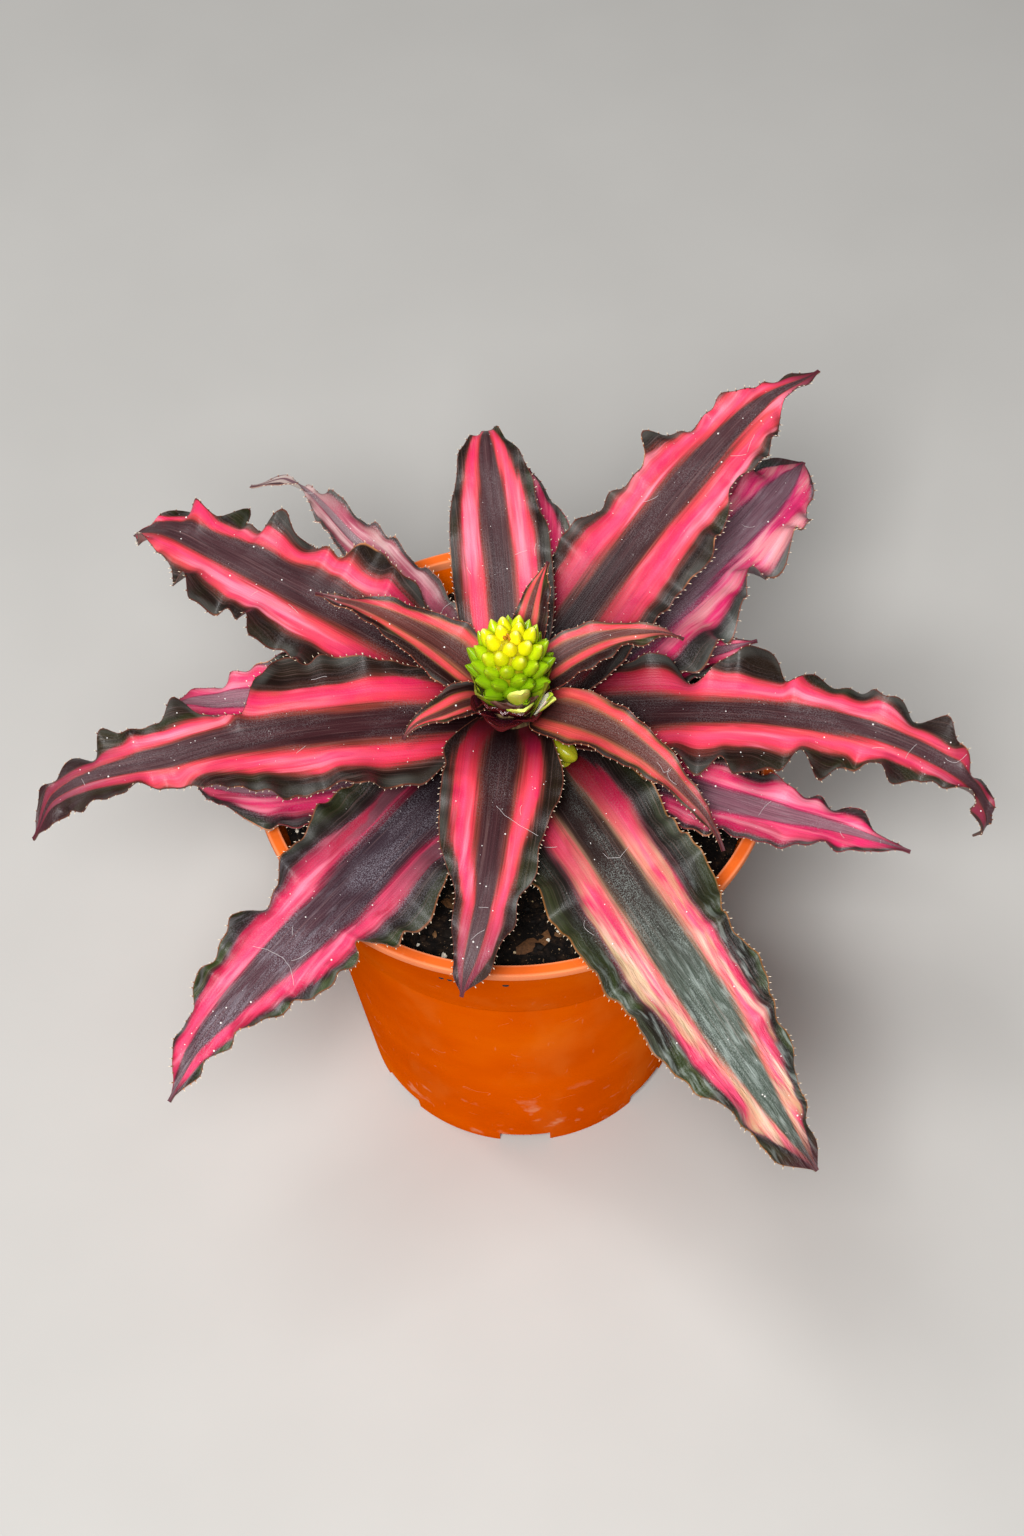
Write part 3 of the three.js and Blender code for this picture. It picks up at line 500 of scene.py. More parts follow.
def leaf_blade(name, coat):
    """Living leaf under a thin wax: satin, ribbed along the blade, with grey scurf caught on it."""
    material, tree, place = new_material(name, "blade")
    stripe, along, reach = parts(tree, "zone")
    # the underside, the dull tip, and the painted shade of the leaves above near the stem
    under, worn, painted_leaf_shade = parts(tree, "underside_wear_shade")

    # The stripes' edges wander slowly, and fine streaks fray them.
    wander = grain(tree, place, (6, 30, 0), seed=1)
    streak = grain(tree, place, (1.1, 34, 0), seed=2)
    shift = add(tree, "ShaderNodeMath", {
        0: add(tree, "ShaderNodeMath", {0: wander, 1: 0.22, 2: -0.11}, operation="MULTIPLY_ADD"),
        1: add(tree, "ShaderNodeMath", {0: streak, 1: 0.16, 2: -0.08}, operation="MULTIPLY_ADD"),
    }, operation="ADD")
    shifted = add(tree, "ShaderNodeMath", {0: stripe, 1: shift}, operation="ADD")
    bands = add(tree, "ShaderNodeValToRGB", {"Fac": shifted}, stops=coat.stops)
    inside = product(tree, between(tree, shifted, 0.35, 0.42), between(tree, shifted, 0.72, 0.66))
    middle = between(tree, shifted, 0.35, 0.26)
    margin = between(tree, shifted, 0.70, 0.77)
    grown = product(tree, inside, between(tree, along, 0.2, 0.5))
    greening = product(tree, margin, between(tree, along, 0.38, 0.6))
    dark_band = add(tree, "ShaderNodeMath", {0: inside, 1: -0.65, 2: 1}, operation="MULTIPLY_ADD")

    # Scurf is specks of grey scales, thick in patches of the dark centre, and thin on the stripes
    # and margins. It also catches in the creases of an old leaf.
    rib = grain(tree, place, (0.36, 24, 0), seed=3)
    crease = grain(tree, place, (1.1, 6, 0), seed=12, detail=4)
    speck = patches(tree, place, (0.2, 0.32, 0), 0.44, 0.66, seed=8, detail=2)
    cover = patches(tree, place, (5, 15, 0), 0.36, 0.66, seed=9)
    thinner = add(tree, "ShaderNodeMath", {0: margin, 1: -0.6, 2: 1}, operation="MULTIPLY_ADD")
    scurf = product(tree, speck, cover, dark_band, thinner, coat.scurf[1])
    painted_sheen_patches = patches(tree, place, (9, 16, 0), 0.42, 0.62, seed=10, detail=1)
    rim = layered(tree, coat.rim, [("#C08058", patches(tree, place, (9, 9, 0), 0.57, 0.72, seed=11))])
    foot, amount, foot_end = coat.foot
    colour = layered(tree, bands, [
        (coat.outer_middle, middle, between(tree, along, 0.34, 0.66), 0.85),
        (foot, inside, between(tree, along, foot_end, foot_end - 0.31), amount),
        (coat.deep[0], patches(tree, place, (5, 13, 0), 0.50, 0.62, seed=4), inside, coat.deep[1]),
        (coat.pale[0], patches(tree, place, (2.4, 30, 0), 0.48, 0.68, seed=5), grown, coat.pale[1]),
        (coat.flame[0], patches(tree, place, (3, 20, 0), 0.45, 0.60, seed=6), grown, coat.flame[1]),
        (coat.green[0], patches(tree, place, (6, 12, 0), 0.46, 0.60, seed=7), greening, coat.green[1]),
        ("#180A0E", between(tree, rib, 0.52, 0.36), dark_band, 0.35),      # fine lengthwise lines, dark
        ("#B08A84", between(tree, rib, 0.54, 0.74), dark_band, 0.14),      # and pale
        (coat.scurf[0], scurf),
        (coat.scurf[0], between(tree, crease, 0.5, 0.68), dark_band, between(tree, along, 0.35, 0.65),
         coat.wrinkle * 0.4),
        (coat.worn[0], worn, inside, coat.worn[1]),
        ("#3C2026", worn, 0.6),
        ("#4A1E28", between(tree, along, 0.93, 0.99), 0.6),                # the very tip
        ("#0C0203", painted_leaf_shade, 0.93),                                      # painted shade of the leaves above
        # painted sheen: grey patches inside the rim that stand in for reflected light
        ("#7E827C", painted_sheen_patches, between(tree, reach, 0.80, 0.93), between(tree, along, 0.06, 0.2),
         between(tree, along, 0.95, 0.65), coat.sheen),
        (rim, between(tree, reach, 0.972, 0.995)),
        (coat.underside, under, 0.75),
        ("#F0E0C4", between(tree, reach, 1.3, 1.75)),                      # the spines' tips
    ])

    rough = add(tree, "ShaderNodeMapRange", {
        "Value": scurf, "From Max": 0.5, "To Min": 0.36, "To Max": 0.65})
    relief = add(tree, "ShaderNodeMath", {0: speck, 1: 0.2, 2: rib}, operation="MULTIPLY_ADD")
    bump = add(tree, "ShaderNodeBump", {"Height": relief, "Strength": 0.5, "Distance": 0.2 * MM})
    creased = add(tree, "ShaderNodeBump", {
        "Height": crease, "Normal": bump, "Distance": 0.7 * MM,
        "Strength": product(tree, between(tree, along, 0.3, 0.6), coat.wrinkle),
    })
    return shaded(material, {"Base Color": colour, "Roughness": rough, "Normal": creased,
                             "IOR": 1.42, "Specular IOR Level": 0.28})


def moulded_polypropylene():
    """Injection-moulded polypropylene: satin, faintly waxy, with lime and scuffs from the greenhouse."""
    material, tree, place = new_material("moulded polypropylene")
    height = add(tree, "ShaderNodeSeparateXYZ", {"Vector": place}).outputs["Z"]
    cloud = grain(tree, place, (38, 38, 30), seed=1)
    orange = add(tree, "ShaderNodeValToRGB", {"Fac": cloud},
                 stops=[(0.3, "#DC5200"), (0.5, "#EA5C00"), (0.7, "#F46A02")])
    # painted shadow: a thin darker band just under the collar's ledge
    ledge_shadow = product(tree, between(tree, height, (COLLAR_FOOT - 2.4) * MM, COLLAR_FOOT * MM),
                     between(tree, height, (COLLAR_FOOT + 0.8) * MM, (COLLAR_FOOT + 0.3) * MM))
    lime = patches(tree, place, (7, 7, 7), 0.59, 0.74, seed=2)
    film = patches(tree, place, (12, 12, 26), 0.48, 0.72, seed=3)
    scuff = patches(tree, place, (1.6, 1.6, 12), 0.68, 0.76, seed=4, detail=4)
    # A scratch runs where a noise passes through its mean, in a few places.
    scratch = add(tree, "ShaderNodeMath", {0: grain(tree, place, (13, 13, 9), seed=5, detail=2), 1: 0.5},
                  operation="SUBTRACT")
    line = between(tree, add(tree, "ShaderNodeMath", {0: scratch}, operation="ABSOLUTE"), 0.004, 0.001)
    rare = patches(tree, place, (12, 12, 8), 0.58, 0.66, seed=6)
    # The lip is a little browner, and pale lines along both of its edges are painted highlights.
    lip = between(tree, height, (LIP_FOOT - 0.3) * MM, (LIP_FOOT + 0.3) * MM)
    flat = add(tree, "ShaderNodeVectorMath", {0: place, 1: (1, 1, 0)}, operation="MULTIPLY")
    radius = add(tree, "ShaderNodeVectorMath", {0: flat}, operation="LENGTH").outputs["Value"]
    lip_middle = POT.rim_radius - POT.rim_lip / 2
    out = add(tree, "ShaderNodeMath", {0: radius, 1: lip_middle * MM}, operation="SUBTRACT")
    edge = between(tree, add(tree, "ShaderNodeMath", {0: out}, operation="ABSOLUTE"), 0.7 * MM, 1.3 * MM)
    colour = layered(tree, orange, [
        ("#9A3400", ledge_shadow, 0.55),
        ("#F4B490", lime, between(tree, height, 40 * MM, 6 * MM), 0.6),
        ("#F08030", film, 0.22),
        ("#F4A478", scuff, 0.2),
        ("#F8B48C", line, rare, 0.45),
        ("#D86A34", lip, 0.5),
        # painted highlights along both edges of the lip
        ("#FFB88C", lip, edge, 0.32),
    ])
    rough = add(tree, "ShaderNodeMapRange", {
        "Value": add(tree, "ShaderNodeMath", {0: lime, 1: film}, operation="ADD"),
        "From Max": 2, "To Min": 0.4, "To Max": 0.55,
    })
    rubbed = add(tree, "ShaderNodeMath", {0: lip, 1: -0.2, 2: rough}, operation="MULTIPLY_ADD")
    peel = grain(tree, place, (1.4, 1.4, 1.4), seed=7, detail=2)
    bump = add(tree, "ShaderNodeBump", {"Height": peel, "Strength": 0.25, "Distance": 0.05 * MM})
    return shaded(material, {"Base Color": colour, "Roughness": rubbed, "Normal": bump,
                             "IOR": 1.49, "Specular IOR Level": 0})


def damp_peat():
    """Peat compost: nearly black where damp, brown where it has dried, and wholly matt."""
    material, tree, place = new_material("damp peat")
    lump = grain(tree, place, (2.4, 2.4, 2.4), seed=1, detail=6)
    peat = add(tree, "ShaderNodeValToRGB", {"Fac": lump},
               stops=[(0.3, "#050302"), (0.48, "#0D0907"), (0.6, "#1C130D"), (0.75, "#3A2A1C")])
    fleck = patches(tree, place, (0.5, 0.5, 0.5), 0.68, 0.74, seed=2, detail=1)
    colour = layered(tree, peat, [("#8A6E50", fleck, 0.6)])
    crumb = grain(tree, place, (0.9, 0.9, 0.9), seed=3, detail=5)
    bump = add(tree, "ShaderNodeBump", {"Height": crumb, "Strength": 0.9, "Distance": 0.8 * MM})
    return shaded(material, {"Base Color": colour, "Roughness": 0.9, "Normal": bump,
                             "Specular IOR Level": 0.15})


def compost_bits():
    """What lies loose on the compost, by its kind: peat crumbs, bark, tan grit and white perlite."""
    material, tree, place = new_material("compost bits")
    kind = add(tree, "ShaderNodeAttribute", attribute_name="kind").outputs["Fac"]
    clean = add(tree, "ShaderNodeValToRGB", {"Fac": kind}, stops=[
        (0, "#060403"), (0.45, "#120C07"), (0.62, "#4A2E1A"), (0.72, "#6E4A2C"), (0.82, "#9A7650"),
        (0.9, "#C8AC80"), (1, "#F0E8D8")])
    dirt = patches(tree, place, (0.6, 0.6, 0.6), 0.35, 0.7, seed=1)
    colour = layered(tree, clean, [("#1A110B", dirt, 0.45)])
    pits = grain(tree, place, (0.4, 0.4, 0.4), seed=2)
    bump = add(tree, "ShaderNodeBump", {"Height": pits, "Strength": 0.6, "Distance": 0.3 * MM})
    return shaded(material, {"Base Color": colour, "Roughness": 0.8, "Normal": bump,
                             "Specular IOR Level": 0.2})


def woody_stem():
    """The short stem: fibrous, tan to brown, ringed by the scars of old leaves."""
    material, tree, place = new_material("fibrous stem")
    fibre = grain(tree, place, (0.7, 0.7, 7), seed=1, detail=4)
    colour = add(tree, "ShaderNodeValToRGB", {"Fac": fibre},
                 stops=[(0.3, "#3A2A1A"), (0.5, "#6A5434"), (0.7, "#9A8458")])
    bump = add(tree, "ShaderNodeBump", {"Height": fibre, "Strength": 0.7, "Distance": 0.3 * MM})
    return shaded(material, {"Base Color": colour, "Roughness": 0.75, "Normal": bump})


def fleshy_bud():
    """Unopened buds: plump, waxy and glossy, yellow at the top of the head and lime lower down."""
    material, tree, place = new_material("fleshy bud")
    up_bud, outer, dried = parts(tree, "bud")
    mottle = grain(tree, place, (0.9, 0.9, 1.6), seed=1)
    reach = add(tree, "ShaderNodeMath", {0: mottle, 1: 0.12, 2: outer}, operation="MULTIPLY_ADD")
    skin = add(tree, "ShaderNodeValToRGB", {"Fac": reach}, stops=[
        (0.06, "#F4E01C"), (0.26, "#EADC10"), (0.42, "#D2D60C"), (0.56, "#A8C40C"), (0.75, "#86AC0C"),
        (1, "#72980A")])
    colour = layered(tree, skin, [
        # darker green towards each bud's foot: partly the bud's own colour, partly painted shade in the
        # gaps between buds
        ("#3E6206", between(tree, up_bud, 0.5, 0.14), 0.9),
        ("#FFF79A", between(tree, up_bud, 0.86, 1), between(tree, outer, 0.7, 0.3), 0.5),
        ("#B0761C", dried),
    ])
    pores = grain(tree, place, (0.5, 0.5, 1.2), seed=2)
    bump = add(tree, "ShaderNodeBump", {"Height": pores, "Strength": 0.15, "Distance": 0.1 * MM})
    return shaded(material, {
        "Base Color": colour, "Roughness": 0.24, "Normal": bump, "IOR": 1.42,
        "Subsurface Weight": 0.25, "Subsurface Radius": (0.9, 1, 0.15), "Subsurface Scale": 1.2 * MM,
    })


def thin_tissue(name, stops, roughness, wrinkle):
    """A small bract, scale or petal. stops run from its foot to its tip."""
    material, tree, place = new_material(name)
    _, along, _ = parts(tree, "zone")
    mottle = grain(tree, place, (1.2, 1.2, 1.2), seed=1)
    reach = add(tree, "ShaderNodeMath", {0: mottle, 1: 0.3, 2: along}, operation="MULTIPLY_ADD")
    colour = add(tree, "ShaderNodeValToRGB", {"Fac": reach}, stops=stops)
    wrinkles = grain(tree, place, (0.35, 0.35, 0.9), seed=2)
    bump = add(tree, "ShaderNodeBump", {"Height": wrinkles, "Strength": wrinkle, "Distance": 0.25 * MM})
    return shaded(material, {
        "Base Color": colour, "Roughness": roughness, "Normal": bump, "Specular IOR Level": 0.3,
        "Subsurface Weight": 0.15, "Subsurface Scale": 0.8 * MM,
    })


def plain_matt(name, colour):
    """Dust, lint and grit: matt, with a faint mottle."""
    material, tree, place = new_material(name)
    mottle = patches(tree, place, (0.4, 0.4, 0.4), 0.5, 0.8, seed=1)
    shade = layered(tree, colour, [("#4A4038", mottle, 0.3)])
    return shaded(material, {"Base Color": shade, "Roughness": 0.7})


# ---------------------------------------------------------------- pot, soil and stem


def softened(corners, reach):
    """The same outline with each inner corner turned into a short curve."""
    steps = 3
    points = [Vector(corner) for corner in corners]
    outline = [points[0]]
    for before, corner, after in zip(points, points[1:], points[2:]):
        near = min(reach, (before - corner).length * 0.45, (after - corner).length * 0.45)
        start = corner + (before - corner).normalized() * near
        end = corner + (after - corner).normalized() * near
        for i in range(steps + 1):
            t = i / steps
            outline.append(start.lerp(corner, t).lerp(corner.lerp(end, t), t))
    outline.append(points[-1])
    return outline


def turned(outline, sides):
    """A closed body: an outline of (radius, height) points from axis to axis, turned about Z."""
    mesh = bmesh.new()
    points = [mesh.verts.new((r, 0, z)) for r, z in outline]
    edges = [mesh.edges.new(ends) for ends in zip(points, points[1:])]
    bmesh.ops.spin(mesh, geom=points + edges, cent=(0, 0, 0), axis=UP, angle=TAU,
                   steps=sides, use_merge=True)
    bmesh.ops.remove_doubles(mesh, verts=mesh.verts, dist=1e-4)
    bmesh.ops.recalc_face_normals(mesh, faces=mesh.faces)
    return mesh


COLLAR_FOOT = POT.height - POT.collar_depth
LIP_FOOT = POT.height - POT.lip_thickness
FLOOR = POT.floor_lift + POT.wall


def inside_wall(inset):
    """The inside of the wall from the floor up, `inset` in from it."""
    slip = POT.wall + inset
    return [
        (POT.foot_radius + POT.flare - slip, FLOOR + inset),
        (POT.collar_foot_radius - POT.ledge - slip, COLLAR_FOOT - POT.wall),
        (POT.collar_foot_radius - slip, COLLAR_FOOT + POT.wall),
        (POT.collar_top_radius - slip, LIP_FOOT),
    ]


def pot_mesh():
    ring_inside = POT.foot_radius - POT.foot_ring
    return turned(softened([
        (0, 0),
        (POT.centre_pad, 0),
        (POT.centre_pad, POT.floor_lift),
        (ring_inside, POT.floor_lift),
        (ring_inside, 0),
        (POT.foot_radius, 0),
        *[(mix(POT.foot_radius, POT.collar_foot_radius - POT.ledge, z / COLLAR_FOOT), z)
          for z in POT.wall_rings],
        (POT.collar_foot_radius - POT.ledge, COLLAR_FOOT),
        (POT.collar_foot_radius, COLLAR_FOOT + POT.ledge / 2),
        (POT.collar_top_radius, LIP_FOOT),
        (POT.rim_radius, LIP_FOOT),
        (POT.rim_radius, POT.height),
        (POT.rim_radius - POT.rim_lip, POT.height),
        *reversed(inside_wall(0)),
        (POT.centre_pad - POT.wall, FLOOR),
        (POT.centre_pad - POT.wall, POT.wall),
        (0, POT.wall),
    ], POT.softness), POT.sides)


def drain_cutter():
    """What is cut from the pot's foot: a notch and a drain hole at each place round it."""
    mesh = bmesh.new()
    for i in range(POT.notches):
        turn = Matrix.Rotation(math.radians(POT.notch_turn + 360 * i / POT.notches), 4, "Z")
        notch = Matrix.Translation((POT.foot_radius, 0, 0)) @ Matrix.Diagonal(
            (POT.foot_ring * 3, POT.notch_width, POT.notch_height * 2, 1))
        bmesh.ops.create_cube(mesh, size=1, matrix=turn @ notch)
        bmesh.ops.create_cone(mesh, cap_ends=True, segments=32, radius1=POT.drain_radius,
                              radius2=POT.drain_radius, depth=FLOOR * 2,
                              matrix=turn @ Matrix.Translation((POT.drain_circle, 0, FLOOR)))
    bmesh.ops.scale(mesh, vec=(MM, MM, MM), verts=mesh.verts)
    return placed("drain cutter", mesh_data("drain cutter", mesh))


def make_pot(material):
    """Cuts the drains from the turned pot."""
    pot = finished("moulded_pot", pot_mesh(), material, ["pot"], crease=30)
    cutter = drain_cutter()
    cut = pot.modifiers.new("drains", "BOOLEAN")
    cut.operation = "DIFFERENCE"
    cut.solver = "EXACT"
    cut.object = cutter
    whole = pot.data
    pot.data = bpy.data.meshes.new_from_object(pot.evaluated_get(bpy.context.evaluated_depsgraph_get()))
    pot.data.name = "moulded_pot"
    pot.modifiers.clear()
    bpy.data.objects.remove(cutter)
    bpy.data.meshes.remove(whole)


SOIL_SIDE = inside_wall(SOIL.gap)
SOIL_EDGE = mix(SOIL_SIDE[2][0], SOIL_SIDE[3][0],
                (SOIL.level - SOIL_SIDE[2][1]) / (SOIL_SIDE[3][1] - SOIL_SIDE[2][1]))
SOIL_HOLE = STEM.radius + SOIL.gap


def soil_top(x, y):
    """Height of the soil's surface, with the lumps that its solid has and finer ones."""
    share = min(max((math.hypot(x, y) - SOIL_HOLE) / (SOIL_EDGE - SOIL_HOLE), 0), 1)
    lump = math.sin(0.31 * x + 1.3) * math.cos(0.27 * y) + 0.6 * math.sin(0.53 * x - 0.61 * y)
    crumbs = noise.fractal(Vector((x, y, 0)) / SOIL.crumb_size, 0.6, 2, 4)
    return SOIL.level + SOIL.crown * (1 - share ** 2) + SOIL.lumps * lump + SOIL.crumb * crumbs


def soil_mesh():
    dish = POT.centre_pad - POT.wall - SOIL.gap
    surface = [(mix(SOIL_EDGE, SOIL_HOLE, i / SOIL.rings), SOIL.level) for i in range(SOIL.rings + 1)]
    mesh = turned([
        (0, POT.wall + SOIL.gap),
        (dish, POT.wall + SOIL.gap),
        (dish, FLOOR + SOIL.gap),
        *SOIL_SIDE[:3],
        *surface,
        (SOIL_HOLE, SOIL.level - STEM.buried),
        (0, SOIL.level - STEM.buried),
    ], SOIL.sides)
    for vert in mesh.verts:
        if vert.co.z >= SOIL.level - 1e-3:
            vert.co.z = soil_top(vert.co.x, vert.co.y)
    return mesh


# Range of its kind, count, smallest and largest radius, and how flat and how long each bit is
COMPOST = [
    ((0.0, 0.5), 1500, 0.35, 1.3, 0.75, 1.2),      # peat crumbs
    ((0.58, 0.76), 150, 0.7, 1.9, 0.35, 1.9),      # bark chips
    ((0.8, 0.92), 150, 0.25, 0.7, 0.8, 1.2),       # tan grit
    ((0.96, 1.0), 60, 0.3, 0.85, 0.85, 1.1),       # perlite
]


def compost_mesh():
    draw = random.Random(11)
    mesh = bmesh.new()
    kind = mesh.verts.layers.float.new("kind")
    inner, outer = STEM.radius + SOIL.bare[0], POT.collar_top_radius - POT.wall - SOIL.bare[1]
    for (least, most), count, small, large, flat, long in COMPOST:
        for _ in range(count):
            radius = math.sqrt(mix(inner ** 2, outer ** 2, draw.random()))
            place = around(radius, draw.uniform(0, 360), 0)
            size = mix(small, large, draw.random() ** 2)
            place.z = soil_top(place.x, place.y) + size * flat * draw.uniform(0, 0.6)
            tilt = (Matrix.Rotation(draw.uniform(0, TAU), 4, "Z")
                    @ Matrix.Rotation(draw.uniform(-0.5, 0.5), 4, "X"))
            shape = Matrix.Diagonal((size * long, size, size * flat, 1))
            made = bmesh.ops.create_icosphere(mesh, subdivisions=1, radius=1,
                                              matrix=Matrix.Translation(place) @ tilt @ shape)
            tone = draw.uniform(least, most)
            for vert in made["verts"]:
                vert[kind] = tone
                vert.co += Vector([draw.uniform(-0.22, 0.22) * size for _ in range(3)])
    return mesh


def stem_mesh():
    toe = SOIL.level - STEM.buried + SOIL.gap
    side = [(STEM.radius - STEM.scars * abs(math.sin(i * 1.9)),
             mix(SOIL.level, STEM.top - STEM.shoulder, i / STEM.rings)) for i in range(STEM.rings + 1)]
    return turned([(0, toe), (STEM.toe_radius, toe), *side, (STEM.toe_radius, STEM.top), (0, STEM.top)],
                  STEM.sides)


# ---------------------------------------------------------------- leaves


def walk_middle(leaf):
    """The middle line of a leaf, with the way along it, across the blade to the left, and up."""
    stations = []
    point = around(BLADE.foot_radius, leaf.azimuth, leaf.foot)
    for i in range(BLADE.steps + 1):
        s = i / BLADE.steps
        heading = leaf.azimuth + leaf.sweep * s ** 2
        bend = leaf.droop * s ** leaf.arch + leaf.curl * smooth(BLADE.curl_from, 1, s)
        along = pointing(heading, leaf.rise - bend)
        across = around(1, heading + 90, 0)
        stations.append((point.copy(), along, across, along.cross(across)))
        point += along * (leaf.length / BLADE.steps)
    return stations


def half_width(leaf, s):
    """Half the width of the blade at s, the share of its length from its foot, without its lobes."""
    if s < leaf.widest:
        share = mix(BLADE.foot_share, 1, 1 - (1 - s / leaf.widest) ** 3)
    else:
        share = (1 - min((s - leaf.widest) / (1 - leaf.widest), 1) ** leaf.taper) ** 1.15
    return leaf.width / 2 * share


def ruffle(margin, s):
    """How far the waves of a margin, which its solid has too, lift it at s."""
    height, waves, start = margin
    fade = smooth(0.08, 0.3, s) * (1 - smooth(0.86, 1, s))
    wave = math.sin(TAU * (waves * s + start))
    ripple = 0.35 * math.sin(TAU * (1.7 * waves * s + 2.3 * start))
    return height * fade * (wave + ripple)


def frill(leaf, s, side):
    """The fine waves of a margin, which its solid leaves out, uneven along it and on each side."""
    turns = s * leaf.length / BLADE.frill_pitch + leaf.number * 0.37 + side * 0.21
    wave = math.sin(TAU * turns + 1.4 * math.sin(TAU * 0.37 * turns))
    ripple = 0.5 * math.sin(TAU * 1.83 * turns)
    grown = BLADE.frill * min(leaf.length / 90, 1)
    return grown * smooth(0.06, 0.3, s) * (1 - smooth(0.88, 1, s)) * (wave + ripple)


def lobed(leaf, s, side):
    """What the lobes of one margin add at s: outward and upward."""
    out = lift = 0
    for place, reach, rise, *spread in leaf.lobes:
        if place * side > 0:
            near = 1 - smooth(0, spread[0] if spread else BLADE.lobe_spread, abs(s - abs(place)))
            out += reach * near
            lift += rise * near
    return out, lift


def station_at(leaf, middle, s):
    """The blade's frame at s, and each side's half width and waves."""
    place = min(max(s, 0), 1) * (len(middle) - 1)
    index = min(int(place), len(middle) - 2)
    ways = [a.lerp(b, place - index) for a, b in zip(middle[index], middle[index + 1])]
    bow_start, bow_place, bow = leaf.sway
    sway = bow * smooth(bow_start, bow_place, s) * (1 - smooth(bow_place, 1, s))
    half, wave, fine = {}, {}, {}
    for side, margin in ((1, leaf.left), (-1, leaf.right)):
        out, lift = lobed(leaf, s, side)
        half[side] = max(half_width(leaf, s) + out, BLADE.tip_width / 2)
        wave[side] = ruffle(margin, s) + lift
        fine[side] = frill(leaf, s, side)
    along, across, up = [way.normalized() for way in ways[1:]]
    return Values(s=s, point=ways[0] + ways[2] * sway, along=along, across=across, up=up,
                  half=half, wave=wave, fine=fine)


def blade_point(leaf, here, v, out=0, lift=0):
    """A point of the blade: v runs from the right margin (-1) to the left (1)."""
    side = 1 if v > 0 else -1
    share = abs(v)
    half = here.half[side]
    sideways = v * half + side * out
    cup = leaf.fold * share ** 1.7 * half / (leaf.width / 2)
    wave = here.wave[side] * share ** 2.6 + here.fine[side] * share ** 4
    spot = Vector((sideways, here.s * leaf.length, leaf.number * 40))
    dent = BLADE.pucker * noise.noise(spot / BLADE.pucker_size)
    clasp = min(abs(sideways), BLADE.foot_radius * 0.95)
    back = BLADE.foot_radius - math.sqrt(BLADE.foot_radius ** 2 - clasp ** 2)
    back *= 1 - smooth(0, BLADE.hug / leaf.length, here.s)
    if here.s == 0:
        back += BLADE.root
    return (here.point + here.across * sideways + here.up * (cup + wave + dent + lift)
            - here.along * back)


def band_place(leaf, s, v):
    """Where v lies in the bands of the coat at s. An outer edge past the margin leaves no dark margin."""
    bands = leaf.bands
    later = next((n for n, band in enumerate(bands) if band[0] > s), len(bands))
    before, after = bands[max(later - 1, 0)], bands[min(later, len(bands) - 1)]
    gap = after[0] - before[0]
    share = min(max((s - before[0]) / gap, 0), 1) if gap else 0
    left_out, left_in, right_in, right_out = [mix(a, b, share) for a, b in zip(before[1:], after[1:])]
    middle = (left_in + right_in) / 2
    inner, outer = (left_in, left_out) if v > middle else (right_in, right_out)
    place, inner, outer = abs(v - middle), abs(inner - middle), abs(outer - middle)
    if place < inner:
        return STRIPE[0] * place / inner
    if place < outer:
        return mix(*STRIPE, (place - inner) / (outer - inner))
    return mix(STRIPE[1], 1, min((place - outer) / BLADE.dark_margin, 1))


def add_spine(mesh, layers, leaf, middle, s, side, length, draw):
    """A spine on one margin, which leans out and towards the leaf's tip."""
    here = station_at(leaf, middle, s)
    root = blade_point(leaf, here, side, out=-BLADE.spine_root)
    outward = (blade_point(leaf, here, side, out=1) - blade_point(leaf, here, side * 0.93)).normalized()
    way = outward * 0.85 + here.along * draw.uniform(0.35, 0.8) + here.up * draw.uniform(-0.1, 0.35)
    way.normalize()
    middle_of_spine = Matrix.Translation(root + way * (length / 2 - BLADE.spine_root))
    turned_up = way.to_track_quat("Z", "Y").to_matrix().to_4x4()
    made = bmesh.ops.create_cone(mesh, cap_ends=True, segments=5, radius1=BLADE.spine_radius,
                                 radius2=BLADE.spine_tip, depth=length, matrix=middle_of_spine @ turned_up)
    for vert in made["verts"]:
        up_spine = max((vert.co - root).dot(way) / length, 0)
        vert[layers[0]] = (side * here.half[side] * MM, s * leaf.length * MM, leaf.number)
        vert[layers[1]] = (1, s, 1 + up_spine)


def add_slab(mesh, columns, rows):
    """A closed flat slab, one unit each way round the origin. Its vertices are to be bent to a shape."""
    verts, faces = set(mesh.verts), set(mesh.faces)
    bmesh.ops.create_grid(mesh, x_segments=columns, y_segments=rows, size=0.5)
    bmesh.ops.solidify(mesh, geom=[face for face in mesh.faces if face not in faces], thickness=1)
    return [vert for vert in mesh.verts if vert not in verts]


